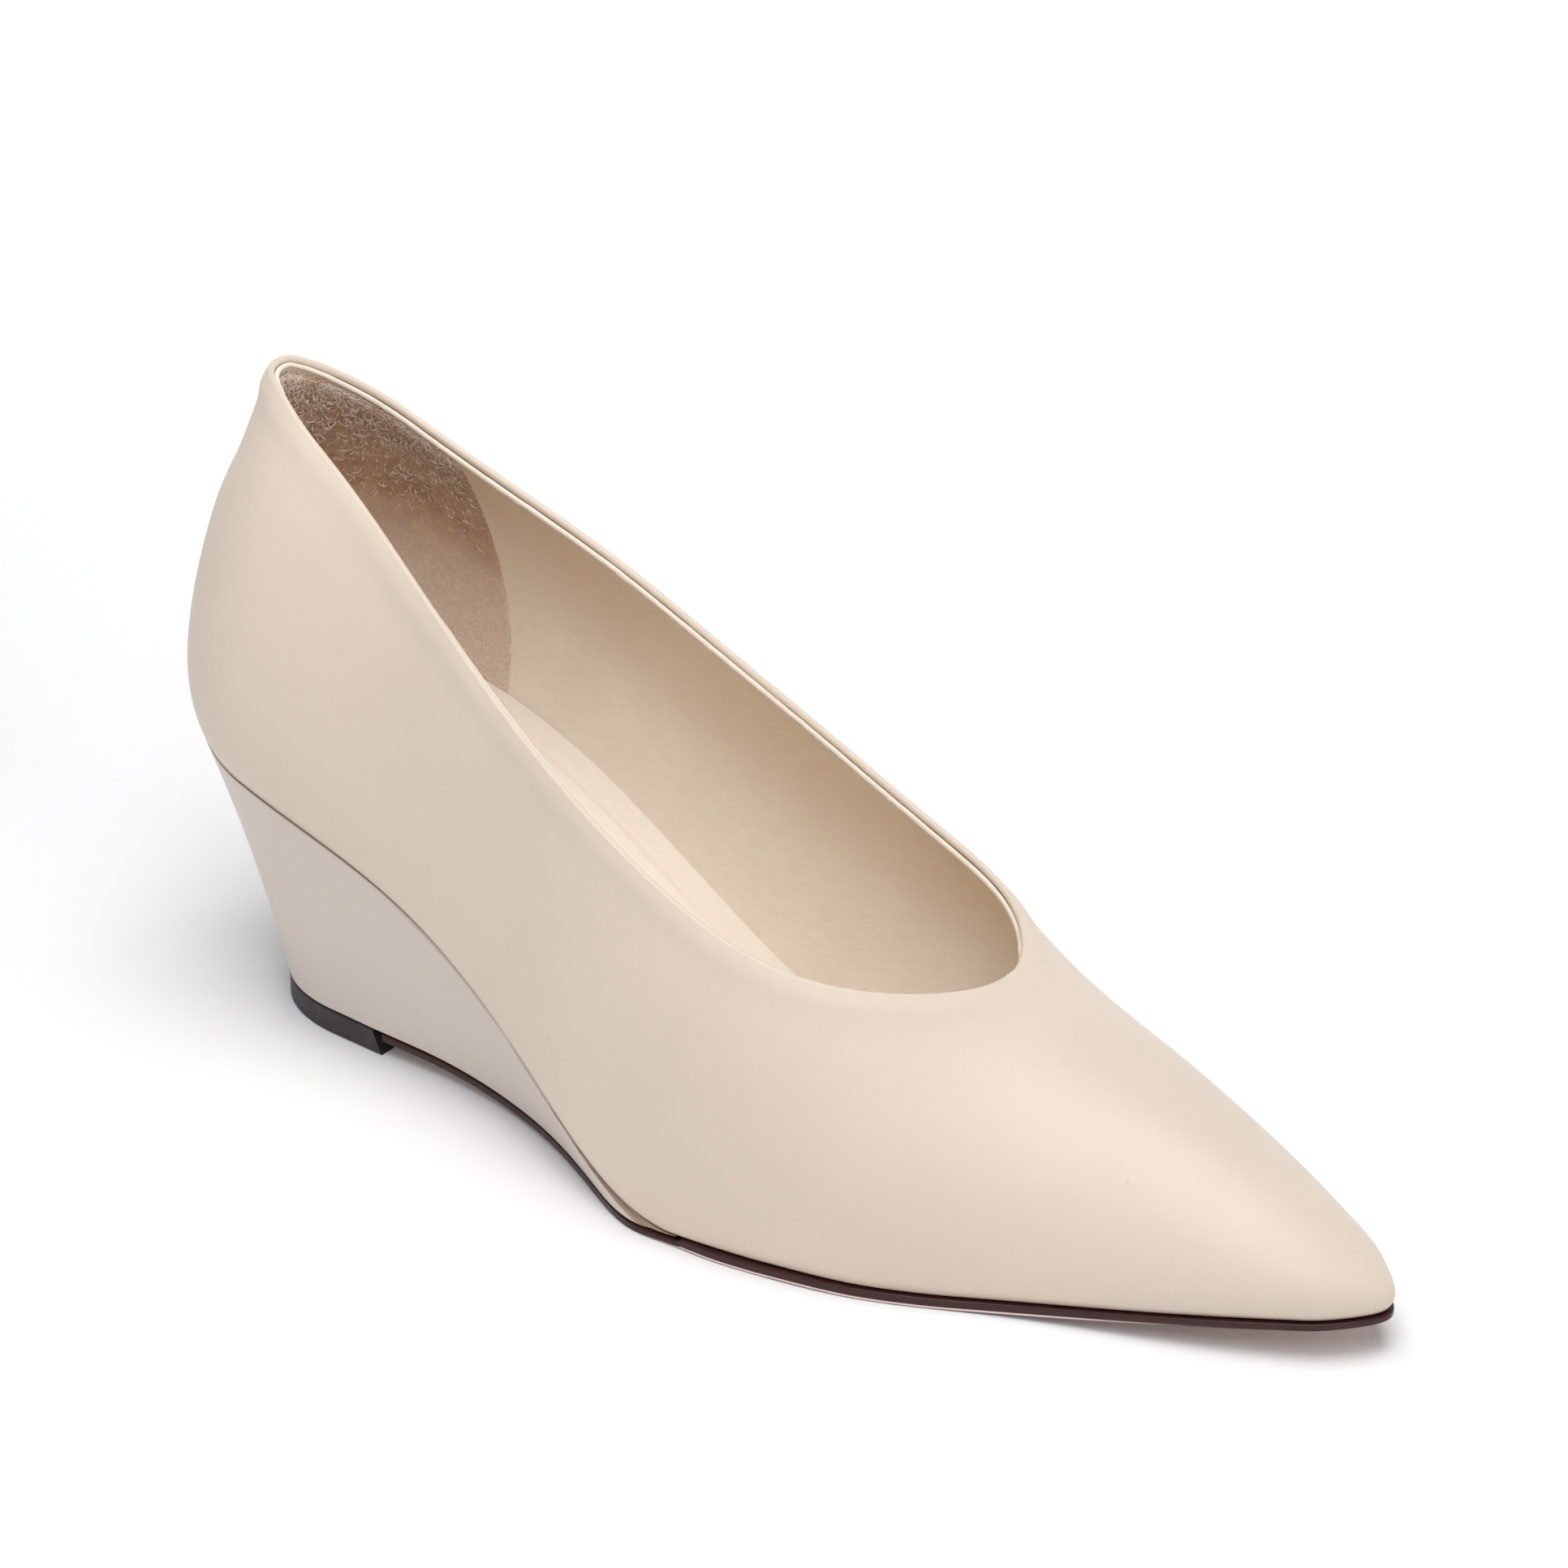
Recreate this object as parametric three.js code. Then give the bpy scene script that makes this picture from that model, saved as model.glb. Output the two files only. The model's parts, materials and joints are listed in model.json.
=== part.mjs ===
import * as THREE from 'three';
import { mergeVertices } from 'three/addons/utils/BufferGeometryUtils.js';

// A pointed wedge pump, right foot, in millimetres.
// +X runs from the heel to the toe, +Z is up, the outer side of the foot is towards -Y.

// Driving sizes
const shoeLength = 250;
const ballWidth = 77;
const heelSeatHeight = 60;
const instepHeight = 105;
const collarHeight = 124.5;
const wallThickness = 2;
const insoleThickness = 2.6;
const soleThickness = 2;
const toeSoleThickness = 1.3;
const waistSoleThickness = 1.5;
const soleMargin = 0.9;
const liftHeight = 4.7;
const liftBackSetback = 17.8;
const liftCapLength = 21;
const liftFront = 49.5;
const liftFrontSlant = 2;
const wedgeFront = 134;
const wedgeFrontEdge = 0.4;
const wedgeHollow = 0.9;

// Fits between neighbouring pieces
const glueGap = 0.3;
const insoleSideGap = 0.4;

// Rounded ends of the seam line between upper and sole
const heelCapRadius = 27;
const toeCapRadius = 9.8;
const heelCapShare = 0.16;
const toeCapShare = 0.9;

// How far the ribs of the last lean in over the heel and the toe
const heelLean = { reach: 24.5, span: 81 };
const toeLean = { reach: 11.8, span: 46 };

// Where the back of the collar is drawn in under its edge: depth, how far below the collar height,
// how far it spreads down and up, and over which share of the seam line
const collarPinch = { depth: 1.8, drop: 15.5, below: 8, above: 16, share: 0.14 };

// Steps along and around the pieces
const steps = { heelCap: 8, quarter: 20, vamp: 12, toeCap: 7, rib: 13, across: 6, wedgeSide: 4 };

const named = (columns, rows) =>
  rows.map((row) => Object.fromEntries(columns.map((name, i) => [name, row[i]])));

// The last at stations along its length. seat is a share of the heel seat height, outer and inner
// are shares of the ball width, crest is a share of the instep height. bulge, rise and flat shape
// the rib: how far it swells past the seam line, how steeply it starts and how level it ends.
const last = named(
  ['at', 'seat', 'outer', 'inner', 'crest', 'bulge', 'rise', 'flat'],
  [
    [0, 1, 0.317, 0.285, 1.636, 0.27, 0.18, 0.28],
    [0.12, 0.861, 0.391, 0.392, 1.234, 0.33, 0.37, 0.42],
    [0.25, 0.676, 0.407, 0.389, 1.096, 0.15, 0.36, 0.69],
    [0.38, 0.382, 0.483, 0.349, 1.16, 0.13, 0.4, 0.72],
    [0.5, 0.064, 0.558, 0.392, 0.992, 0.13, 0.42, 0.67],
    [0.6, 0.038, 0.542, 0.43, 0.697, 0.16, 0.45, 0.61],
    [0.68, 0.038, 0.487, 0.472, 0.469, 0.15, 0.47, 0.58],
    [0.76, 0.044, 0.376, 0.46, 0.354, 0.16, 0.45, 0.56],
    [0.86, 0.084, 0.263, 0.328, 0.278, 0.18, 0.41, 0.52],
    [0.94, 0.121, 0.166, 0.174, 0.204, 0.27, 0.43, 0.55],
    [1, 0.138, 0.07, 0.062, 0.138, 0.34, 0.42, 0.56],
  ],
);

// Side view of the topline on each side, heights as shares of the collar height
const topline = named(
  ['at', 'outer', 'inner'],
  [
    [0.0573, 0.982, 0.982],
    [0.08, 0.976, 0.952],
    [0.12, 0.938, 0.898],
    [0.24, 0.797, 0.774],
    [0.36, 0.673, 0.66],
    [0.48, 0.546, 0.533],
    [0.58, 0.444, 0.436],
    [0.65, 0.398, 0.395],
    [0.74, 0.352, 0.352],
  ],
);

// Underside of the wedge. outer and inner are shares of the ball width, height is a share of the
// lift height.
const waist = named(
  ['at', 'outer', 'inner', 'height'],
  [
    [0.06, 0.27, 0.27, 1],
    [0.14, 0.265, 0.265, 1],
    [0.2, 0.283, 0.27, 1],
    [0.26, 0.291, 0.262, 0.88],
    [0.34, 0.331, 0.252, 0.57],
    [0.4, 0.404, 0.27, 0.46],
    [0.45, 0.49, 0.308, 0.39],
    [0.5, 0.562, 0.36, 0.35],
    [0.54, 0.552, 0.405, 0.35],
    [0.6, 0.536, 0.46, 0.35],
  ],
);

function spline(rows, column) {
  const xs = rows.map((row) => row.at);
  const ys = rows.map((row) => row[column]);
  const n = xs.length;
  const bend = new Array(n).fill(0);
  const weight = new Array(n).fill(0);
  for (let i = 1; i < n - 1; i += 1) {
    const before = xs[i] - xs[i - 1];
    const after = xs[i + 1] - xs[i];
    const pull = 6 * ((ys[i + 1] - ys[i]) / after - (ys[i] - ys[i - 1]) / before);
    const pivot = 2 * (before + after) - before * weight[i - 1];
    weight[i] = after / pivot;
    bend[i] = (pull - before * bend[i - 1]) / pivot;
  }
  for (let i = n - 2; i > 0; i -= 1) bend[i] -= weight[i] * bend[i + 1];
  return (x) => {
    let i = 0;
    while (i < n - 2 && x > xs[i + 1]) i += 1;
    const h = xs[i + 1] - xs[i];
    const a = (xs[i + 1] - x) / h;
    const b = 1 - a;
    const curve = ((a ** 3 - a) * bend[i] + (b ** 3 - b) * bend[i + 1]) * h * h;
    return a * ys[i] + b * ys[i + 1] + curve / 6;
  };
}

const clamp = (value, low, high) => Math.min(high, Math.max(low, value));
const mix = (a, b, share) => a + (b - a) * share;
const smooth = (share) => share * share * (3 - 2 * share);

const lastSeat = spline(last, 'seat');
const lastWidth = { outer: spline(last, 'outer'), inner: spline(last, 'inner') };
const lastCrest = spline(last, 'crest');
const lastBulge = spline(last, 'bulge');
const lastRise = spline(last, 'rise');
const lastFlat = spline(last, 'flat');
const waistWidth = { outer: spline(waist, 'outer'), inner: spline(waist, 'inner') };
const waistLevel = spline(waist, 'height');
const toplineShare = { outer: spline(topline, 'outer'), inner: spline(topline, 'inner') };
const sign = { outer: -1, inner: 1 };

const ballSeat = soleThickness + glueGap;
const seatHeight = (x) => Math.max(ballSeat, heelSeatHeight * lastSeat(x / shoeLength));
const crestHeight = (x) => instepHeight * lastCrest(x / shoeLength);
const toplineHeight = (x, side) => collarHeight * toplineShare[side](x / shoeLength);

// Place along the seam line: share 0 is the back of the heel and share 1 is the toe tip.
function seamStation(share) {
  const body = shoeLength - heelCapRadius - toeCapRadius;
  if (share < heelCapShare) {
    const turn = (share / heelCapShare) * (Math.PI / 2);
    return { x: heelCapRadius * (1 - Math.cos(turn)), cap: Math.sin(turn) };
  }
  if (share > toeCapShare) {
    const turn = ((1 - share) / (1 - toeCapShare)) * (Math.PI / 2);
    return { x: shoeLength - toeCapRadius * (1 - Math.cos(turn)), cap: Math.sin(turn) };
  }
  const along = (share - heelCapShare) / (toeCapShare - heelCapShare);
  return { x: heelCapRadius + body * along, cap: 1 };
}

function shareAt(x) {
  const body = shoeLength - heelCapRadius - toeCapRadius;
  return heelCapShare + ((x - heelCapRadius) / body) * (toeCapShare - heelCapShare);
}

function seamPoint(share, side) {
  const { x, cap } = seamStation(share);
  return [x, ballWidth * lastWidth[side](x / shoeLength) * cap];
}

// Plan outline moved inwards by inset, or outwards where inset is negative.
function insetPoint(outline, share, side, inset) {
  const [x, half] = outline(share, side);
  if (share <= 0) return [x + inset, 0];
  if (share >= 1) return [x - inset, 0];
  const [xa, ha] = outline(Math.max(0, share - 1e-3), side);
  const [xb, hb] = outline(Math.min(1, share + 1e-3), side);
  const length = Math.hypot(xb - xa, hb - ha);
  const moved = half - (inset * (xb - xa)) / length;
  return [x + (inset * (hb - ha)) / length, Math.max(0, moved)];
}

// One rib of the last, a cubic curve from the seam line up and over to the crest line.
function rib(share, side) {
  const [x, half] = seamPoint(share, side);
  const foot = new THREE.Vector3(x, sign[side] * half, seatHeight(x));
  const heelShare = clamp(1 - x / heelLean.span, 0, 1);
  const toeShare = clamp(1 - (shoeLength - x) / toeLean.span, 0, 1);
  const crestX = x + heelLean.reach * heelShare ** 2 - toeLean.reach * toeShare ** 2;
  const crest = new THREE.Vector3(crestX, 0, crestHeight(crestX));
  const out = new THREE.Vector3(foot.x - crest.x, foot.y - crest.y, 0);
  const reach = out.length();
  out.normalize();
  const at = x / shoeLength;
  const slope = (crestHeight(crestX + 0.5) - crestHeight(crestX - 0.5)) * out.x;
  const swell = foot.clone().addScaledVector(out, lastBulge(at) * reach);
  swell.z += lastRise(at) * (crest.z - foot.z);
  const level = lastFlat(at) * reach;
  const shoulder = crest.clone().addScaledVector(out, level);
  shoulder.z += slope * level;
  return new THREE.CubicBezierCurve3(foot, swell, shoulder, crest);
}

// A point on a rib, drawn in at the back of the collar.
function ribPoint(curve, t, share) {
  const point = curve.getPoint(t);
  const fade = 1 - smooth(clamp(share / collarPinch.share, 0, 1));
  const up = point.z - (collarHeight - collarPinch.drop);
  const spread = up < 0 ? collarPinch.below : collarPinch.above;
  const inwards = curve.v3.clone().sub(curve.v0).setZ(0).normalize();
  return point.addScaledVector(inwards, collarPinch.depth * fade * Math.exp(-((up / spread) ** 2)));
}

// The throat is where the topline meets the crest line.
function findThroat() {
  let low = 0.6 * shoeLength;
  let high = 0.8 * shoeLength;
  for (let i = 0; i < 50; i += 1) {
    const middle = (low + high) / 2;
    if (crestHeight(middle) > toplineHeight(middle, 'outer')) low = middle;
    else high = middle;
  }
  return (low + high) / 2;
}

const throat = findThroat();
const throatShare = shareAt(throat);

// How far up its rib a place on the topline lies.
function toplineShareOnRib(curve, side, share) {
  const above = (t) => {
    const point = ribPoint(curve, t, share);
    return point.z - toplineHeight(point.x, side);
  };
  const tries = 200;
  for (let i = 1; i <= tries; i += 1) {
    if (above(i / tries) <= 0) continue;
    let low = (i - 1) / tries;
    let high = i / tries;
    for (let k = 0; k < 40; k += 1) {
      const middle = (low + high) / 2;
      if (above(middle) > 0) high = middle;
      else low = middle;
    }
    return (low + high) / 2;
  }
  return 1;
}

function shares(from, to, count, crowd = 1) {
  const list = [];
  for (let i = 0; i < count; i += 1) {
    list.push(to - (to - from) * (1 - i / count) ** crowd);
  }
  return list;
}

const upperShares = [
  ...shares(0, heelCapShare, steps.heelCap),
  ...shares(heelCapShare, throatShare, steps.quarter, 1.5),
  ...shares(throatShare, toeCapShare, steps.vamp),
  ...shares(toeCapShare, 1, steps.toeCap),
  1,
];

function bodyFrom(points, faces) {
  const flat = new Float64Array(points.length * 3);
  points.forEach((point, i) => flat.set(point.toArray(), i * 3));
  let volume = 0;
  faces.forEach(([a, b, c]) => {
    volume += points[a].dot(points[b].clone().cross(points[c]));
  });
  const turned = volume < 0 ? faces.map(([a, b, c]) => [a, c, b]) : faces;
  const raw = new THREE.BufferGeometry();
  raw.setAttribute('position', new THREE.BufferAttribute(flat, 3));
  raw.setIndex(turned.flat());
  const merged = mergeVertices(raw, 1e-4);
  const index = merged.getIndex().array;
  const kept = [];
  for (let i = 0; i < index.length; i += 3) {
    const [a, b, c] = [index[i], index[i + 1], index[i + 2]];
    if (a !== b && b !== c && c !== a) kept.push(a, b, c);
  }
  merged.setIndex(kept);
  merged.computeVertexNormals();
  return merged;
}

function quad(faces, a, b, c, d) {
  faces.push([a, b, c], [a, c, d]);
}

// Closed body from rings of equal length. An end that is not a point or an edge gets a fan.
function sweep(rings, capped) {
  const points = rings.flat();
  const count = rings[0].length;
  const faces = [];
  for (let i = 0; i < rings.length - 1; i += 1) {
    for (let k = 0; k < count; k += 1) {
      const next = (k + 1) % count;
      const here = i * count;
      const there = here + count;
      quad(faces, here + k, here + next, there + next, there + k);
    }
  }
  capped.forEach((end) => {
    const ring = end === 'first' ? 0 : rings.length - 1;
    const centre = new THREE.Vector3();
    rings[ring].forEach((point) => centre.addScaledVector(point, 1 / count));
    points.push(centre);
    for (let k = 0; k < count; k += 1) {
      const a = ring * count + k;
      const b = ring * count + ((k + 1) % count);
      faces.push(end === 'first' ? [points.length - 1, b, a] : [points.length - 1, a, b]);
    }
  });
  return bodyFrom(points, faces);
}

// Ring across the shoe: along the bottom, up the inner side, back over the top, down the outer
// side. low and high give [x, outer half width, inner half width, height at a place x].
function ringOf(low, high, sideSteps = 1, hollow = 0) {
  const ring = [];
  const place = (level, y) => new THREE.Vector3(level.x, y, level.height(level.x));
  for (let k = 0; k <= steps.across; k += 1) {
    ring.push(place(low, mix(-low.outer, low.inner, k / steps.across)));
  }
  const side = (name, up) => {
    const from = place(low, sign[name] * low[name]);
    const to = place(high, sign[name] * high[name]);
    const point = from.lerp(to, up);
    point.y -= sign[name] * hollow * 4 * up * (1 - up) * clamp(low[name] / heelCapRadius, 0, 1);
    point.x += hollow * 4 * up * (1 - up) * (1 - clamp(low[name] / heelCapRadius, 0, 1));
    return point;
  };
  for (let k = 1; k < sideSteps; k += 1) ring.push(side('inner', k / sideSteps));
  for (let k = 0; k <= steps.across; k += 1) {
    ring.push(place(high, mix(high.inner, -high.outer, k / steps.across)));
  }
  for (let k = 1; k < sideSteps; k += 1) ring.push(side('outer', 1 - k / sideSteps));
  return ring;
}

function levelAt(outline, share, inset, height) {
  const [xOuter, outer] = insetPoint(outline, share, 'outer', inset);
  const [xInner, inner] = insetPoint(outline, share, 'inner', inset);
  return { x: (xOuter + xInner) / 2, outer, inner, height };
}

function upper() {
  const outside = [];
  const column = (share, side) => {
    const curve = rib(share, side);
    const open = share < throatShare - 1e-9;
    const end = open ? toplineShareOnRib(curve, share > 0 ? side : 'outer', share) : 1;
    const list = [];
    for (let k = 0; k <= steps.rib; k += 1) list.push(ribPoint(curve, (end * k) / steps.rib, share));
    return { list, open: share < throatShare + 1e-9 };
  };
  const columns = upperShares.map((share) => column(share, 'outer'));
  upperShares
    .slice(1, -1)
    .reverse()
    .forEach((share) => columns.push(column(share, 'inner')));
  columns.forEach(({ list }) => outside.push(...list));

  const rows = steps.rib + 1;
  const outerFaces = [];
  const edge = [];
  const id = (c, k) => (c % columns.length) * rows + k;
  columns.forEach((here, c) => {
    const there = columns[(c + 1) % columns.length];
    for (let k = 0; k < steps.rib; k += 1) {
      quad(outerFaces, id(c, k), id(c + 1, k), id(c + 1, k + 1), id(c, k + 1));
    }
    edge.push([id(c, 0), id(c + 1, 0)]);
    if (here.open && there.open) edge.push([id(c + 1, steps.rib), id(c, steps.rib)]);
  });

  const normals = weldedNormals(outside, outerFaces);
  const inside = outside.map((point, i) => point.clone().addScaledVector(normals[i], -wallThickness));
  columns.forEach(({ list }, c) => {
    inside[id(c, 0)].z = list[0].z;
  });
  const shift = outside.length;
  const faces = [...outerFaces];
  outerFaces.forEach(([a, b, c]) => faces.push([a + shift, c + shift, b + shift]));
  edge.forEach(([a, b]) => quad(faces, b, a, a + shift, b + shift));
  return bodyFrom([...outside, ...inside], faces);
}

// Outward normals, shared by points that lie at the same place.
function weldedNormals(points, faces) {
  const key = (point) => point.toArray().map((value) => Math.round(value * 1e4)).join(',');
  const sums = new Map();
  points.forEach((point) => sums.set(key(point), new THREE.Vector3()));
  faces.forEach(([a, b, c]) => {
    const side = points[b].clone().sub(points[a]);
    const normal = side.cross(points[c].clone().sub(points[a]));
    [a, b, c].forEach((i) => sums.get(key(points[i])).add(normal));
  });
  const normals = points.map((point) => sums.get(key(point)).clone().normalize());
  const middle = points.findIndex((point) => Math.abs(point.y) > ballWidth * 0.3);
  const flip = normals[middle].y * points[middle].y < 0 ? -1 : 1;
  return normals.map((normal) => normal.multiplyScalar(flip));
}

function insole() {
  const inset = wallThickness + insoleSideGap;
  const rings = upperShares.map((share) => {
    const level = levelAt(seamPoint, share, inset, seatHeight);
    return ringOf(level, { ...level, height: (x) => seatHeight(x) + insoleThickness });
  });
  return sweep(rings, []);
}

// Underside outline of the wedge and the lift, which starts further forward than the seam line.
const wedgeEndShare = shareAt(wedgeFront);

function waistPoint(share, side) {
  const turn = clamp(share / heelCapShare, 0, 1) * (Math.PI / 2);
  const along = clamp((share - heelCapShare) / (wedgeEndShare - heelCapShare), 0, 2);
  const capEnd = liftBackSetback + liftCapLength;
  const x =
    share < heelCapShare
      ? liftBackSetback + liftCapLength * (1 - Math.cos(turn))
      : capEnd + (wedgeFront - capEnd) * along;
  return [x, ballWidth * waistWidth[side](x / shoeLength) * Math.sin(turn)];
}

function waistShareAt(x) {
  const capEnd = liftBackSetback + liftCapLength;
  return heelCapShare + ((x - capEnd) / (wedgeFront - capEnd)) * (wedgeEndShare - heelCapShare);
}

const frontFloor = seatHeight(wedgeFront) - glueGap - wedgeFrontEdge;
const waistHeight = (x) => {
  const blend = smooth(clamp((x - 0.36 * shoeLength) / (wedgeFront - 0.36 * shoeLength), 0, 1));
  return mix(liftHeight * waistLevel(x / shoeLength) + glueGap, frontFloor, blend);
};

function wedge() {
  const list = [
    ...shares(0, heelCapShare, steps.heelCap),
    ...shares(heelCapShare, wedgeEndShare, 18),
    wedgeEndShare,
  ];
  const rings = list.map((share) => {
    const low = levelAt(waistPoint, share, 0, waistHeight);
    const high = levelAt(seamPoint, share, 0, (x) => seatHeight(x) - glueGap);
    const fade = 1 - smooth(clamp(share / wedgeEndShare, 0, 1));
    return ringOf(low, high, steps.wedgeSide, wedgeHollow * fade);
  });
  return sweep(rings, ['last']);
}

function topLift() {
  const endShare = waistShareAt(liftFront);
  const list = [...shares(0, heelCapShare, steps.heelCap + 2), ...shares(heelCapShare, endShare, 3), endShare];
  const rings = list.map((share) => {
    const level = levelAt(waistPoint, share, 0, () => liftHeight);
    const lean = liftFrontSlant * clamp((share - heelCapShare) / (endShare - heelCapShare), 0, 1);
    return ringOf({ ...level, x: level.x + lean, height: () => 0 }, level);
  });
  return sweep(rings, ['last']);
}

// Plan of the outsole: the wedge's underside at the waist, the seam line and a margin in front.
function solePoint(share, side) {
  const [x, front] = insetPoint(seamPoint, share, side, -soleMargin);
  const blend = smooth(clamp((x / shoeLength - 0.48) / 0.1, 0, 1));
  const back = ballWidth * waistWidth[side](Math.min(x / shoeLength, 0.6));
  return [x, mix(back, front, blend)];
}

function soleTop(x) {
  const ahead = clamp((x - wedgeFront - glueGap) / 1.2, 0, 1);
  const behind = waistHeight(Math.min(x, wedgeFront)) - glueGap;
  return mix(behind, seatHeight(x) - glueGap, ahead);
}

function soleBottom(x) {
  const front = smooth(clamp((x / shoeLength - 0.4) / 0.2, 0, 1));
  const toe = smooth(clamp((x / shoeLength - 0.72) / 0.26, 0, 1));
  const thickness = mix(mix(waistSoleThickness, soleThickness, front), toeSoleThickness, toe);
  return Math.max(0, soleTop(x) - thickness);
}

function outsole() {
  const start = shareAt(liftFront + liftFrontSlant + glueGap);
  const end = shareAt(wedgeFront + glueGap);
  const list = [
    ...shares(start, end, 16),
    ...shares(end, end + 0.006, 1),
    ...shares(end + 0.006, toeCapShare, 16),
    ...shares(toeCapShare, 1, steps.toeCap),
    1,
  ];
  const rings = list.map((share) => {
    const level = levelAt(solePoint, share, 0, soleBottom);
    return ringOf(level, { ...level, height: soleTop });
  });
  return sweep(rings, ['first']);
}

const satinLeather = { color: 0xe4d6c6, roughness: 0.42, metalness: 0 };
const wedgeLeather = { color: 0xdccdbd, roughness: 0.45, metalness: 0 };
const sockLeather = { color: 0xeddecb, roughness: 0.6, metalness: 0 };
const soleLeather = { color: 0x422626, roughness: 0.35, metalness: 0 };
const liftRubber = { color: 0x3c3737, roughness: 0.7, metalness: 0 };

function piece(name, geometry, finish) {
  const mesh = new THREE.Mesh(geometry, new THREE.MeshStandardMaterial(finish));
  mesh.name = name;
  return mesh;
}

const shoe = new THREE.Group();
shoe.name = 'wedge_pump';
shoe.add(
  piece('upper', upper(), satinLeather),
  piece('insole', insole(), sockLeather),
  piece('wedge', wedge(), wedgeLeather),
  piece('outsole', outsole(), soleLeather),
  piece('top_lift', topLift(), liftRubber),
);

// The row's origin is the middle of the bounding box, at the floor.
const box = new THREE.Box3().setFromObject(shoe);
const middle = box.getCenter(new THREE.Vector3());
shoe.children.forEach((mesh) => mesh.geometry.translate(-middle.x, -middle.y, -box.min.z));

export default shoe;
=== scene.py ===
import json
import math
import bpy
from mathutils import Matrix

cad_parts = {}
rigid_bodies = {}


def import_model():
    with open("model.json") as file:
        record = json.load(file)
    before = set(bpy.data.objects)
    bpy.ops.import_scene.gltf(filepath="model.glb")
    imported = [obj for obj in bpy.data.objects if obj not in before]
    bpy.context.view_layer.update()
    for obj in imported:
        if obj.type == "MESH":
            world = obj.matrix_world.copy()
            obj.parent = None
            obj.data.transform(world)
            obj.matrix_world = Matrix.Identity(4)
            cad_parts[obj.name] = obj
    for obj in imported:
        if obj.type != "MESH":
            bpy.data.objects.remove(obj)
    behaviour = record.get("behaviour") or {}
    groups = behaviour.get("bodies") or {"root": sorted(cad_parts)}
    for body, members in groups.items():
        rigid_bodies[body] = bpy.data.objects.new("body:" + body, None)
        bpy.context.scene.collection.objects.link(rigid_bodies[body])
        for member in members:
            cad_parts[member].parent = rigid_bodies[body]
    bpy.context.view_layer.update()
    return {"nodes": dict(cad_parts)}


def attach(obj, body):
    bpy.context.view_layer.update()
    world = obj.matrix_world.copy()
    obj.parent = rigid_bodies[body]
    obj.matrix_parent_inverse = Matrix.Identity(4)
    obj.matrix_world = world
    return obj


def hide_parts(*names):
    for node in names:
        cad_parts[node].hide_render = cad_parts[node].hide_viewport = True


bl_info = {
    "name": "Wedge pump",
    "version": (1, 0, 0),
    "blender": (4, 5, 0),
    "location": "3D View > Sidebar > Wedge pump",
    "description": "Builds a pointed leather wedge pump with its lining, sock, heel grip and sole",
    "category": "Add Mesh",
}

import bpy
import numpy as np
from bpy.props import FloatProperty, FloatVectorProperty, PointerProperty
from mathutils import Matrix, Vector

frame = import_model()

# The last at stations along its length. seat is a share of the heel seat height, outer and inner
# are shares of the ball width, crest is a share of the instep height. bulge, rise and flat shape
# the rib: how far it swells past the seam line, how steeply it starts and how level it ends.
LAST_COLUMNS = ("at", "seat", "outer", "inner", "crest", "bulge", "rise", "flat")
LAST_ROWS = (
    (0, 1, 0.317, 0.285, 1.636, 0.27, 0.18, 0.28),
    (0.12, 0.861, 0.391, 0.392, 1.234, 0.33, 0.37, 0.42),
    (0.25, 0.676, 0.407, 0.389, 1.096, 0.15, 0.36, 0.69),
    (0.38, 0.382, 0.483, 0.349, 1.16, 0.13, 0.4, 0.72),
    (0.5, 0.064, 0.558, 0.392, 0.992, 0.13, 0.42, 0.67),
    (0.6, 0.038, 0.542, 0.43, 0.697, 0.16, 0.45, 0.61),
    (0.68, 0.038, 0.487, 0.472, 0.469, 0.15, 0.47, 0.58),
    (0.76, 0.044, 0.376, 0.46, 0.354, 0.16, 0.45, 0.56),
    (0.86, 0.084, 0.263, 0.328, 0.278, 0.18, 0.41, 0.52),
    (0.94, 0.121, 0.166, 0.174, 0.204, 0.27, 0.43, 0.55),
    (1, 0.138, 0.07, 0.062, 0.138, 0.34, 0.42, 0.56),
)

# Side view of the topline on each side, heights as shares of the collar height.
TOPLINE_COLUMNS = ("at", "outer", "inner")
TOPLINE_ROWS = (
    (0.0573, 0.982, 0.982),
    (0.08, 0.976, 0.952),
    (0.12, 0.938, 0.898),
    (0.24, 0.797, 0.774),
    (0.36, 0.673, 0.66),
    (0.48, 0.546, 0.533),
    (0.58, 0.444, 0.436),
    (0.65, 0.398, 0.395),
    (0.74, 0.352, 0.352),
)

# Underside of the wedge: half widths as shares of the ball width, height as a share of the lift's.
WAIST_COLUMNS = ("at", "outer", "inner", "height")
WAIST_ROWS = (
    (0.06, 0.27, 0.27, 1),
    (0.14, 0.265, 0.265, 1),
    (0.2, 0.283, 0.27, 1),
    (0.26, 0.291, 0.262, 0.88),
    (0.34, 0.331, 0.252, 0.57),
    (0.4, 0.404, 0.27, 0.46),
    (0.45, 0.49, 0.308, 0.39),
    (0.5, 0.562, 0.36, 0.35),
    (0.54, 0.552, 0.405, 0.35),
    (0.6, 0.536, 0.46, 0.35),
)

# Front edge of the heel grip: how far along the last it stands at each share of the wall's height.
GRIP_COLUMNS = ("up", "front")
GRIP_ROWS = ((0, 0.168), (0.25, 0.171), (0.5, 0.169), (0.75, 0.163), (1, 0.156))

# Points round and up the heel grip.
GRIP_COUNT = (181, 91)

# The nap: its fibres cover the grid's upper steps, crowded towards the rim. Turns are in radians,
# bends are shares of a fibre's length, lengths and widths are in millimetres.
NAP_COUNT = 3000
NAP_SPAN = 40
NAP_CROWDING = 3.6
NAP_TURN = 0.8
NAP_BENDS = (0.1, 0.7)
NAP_LENGTHS = (0.8, 1.9)
NAP_WIDTHS = (0.17, 0.36)

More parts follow.
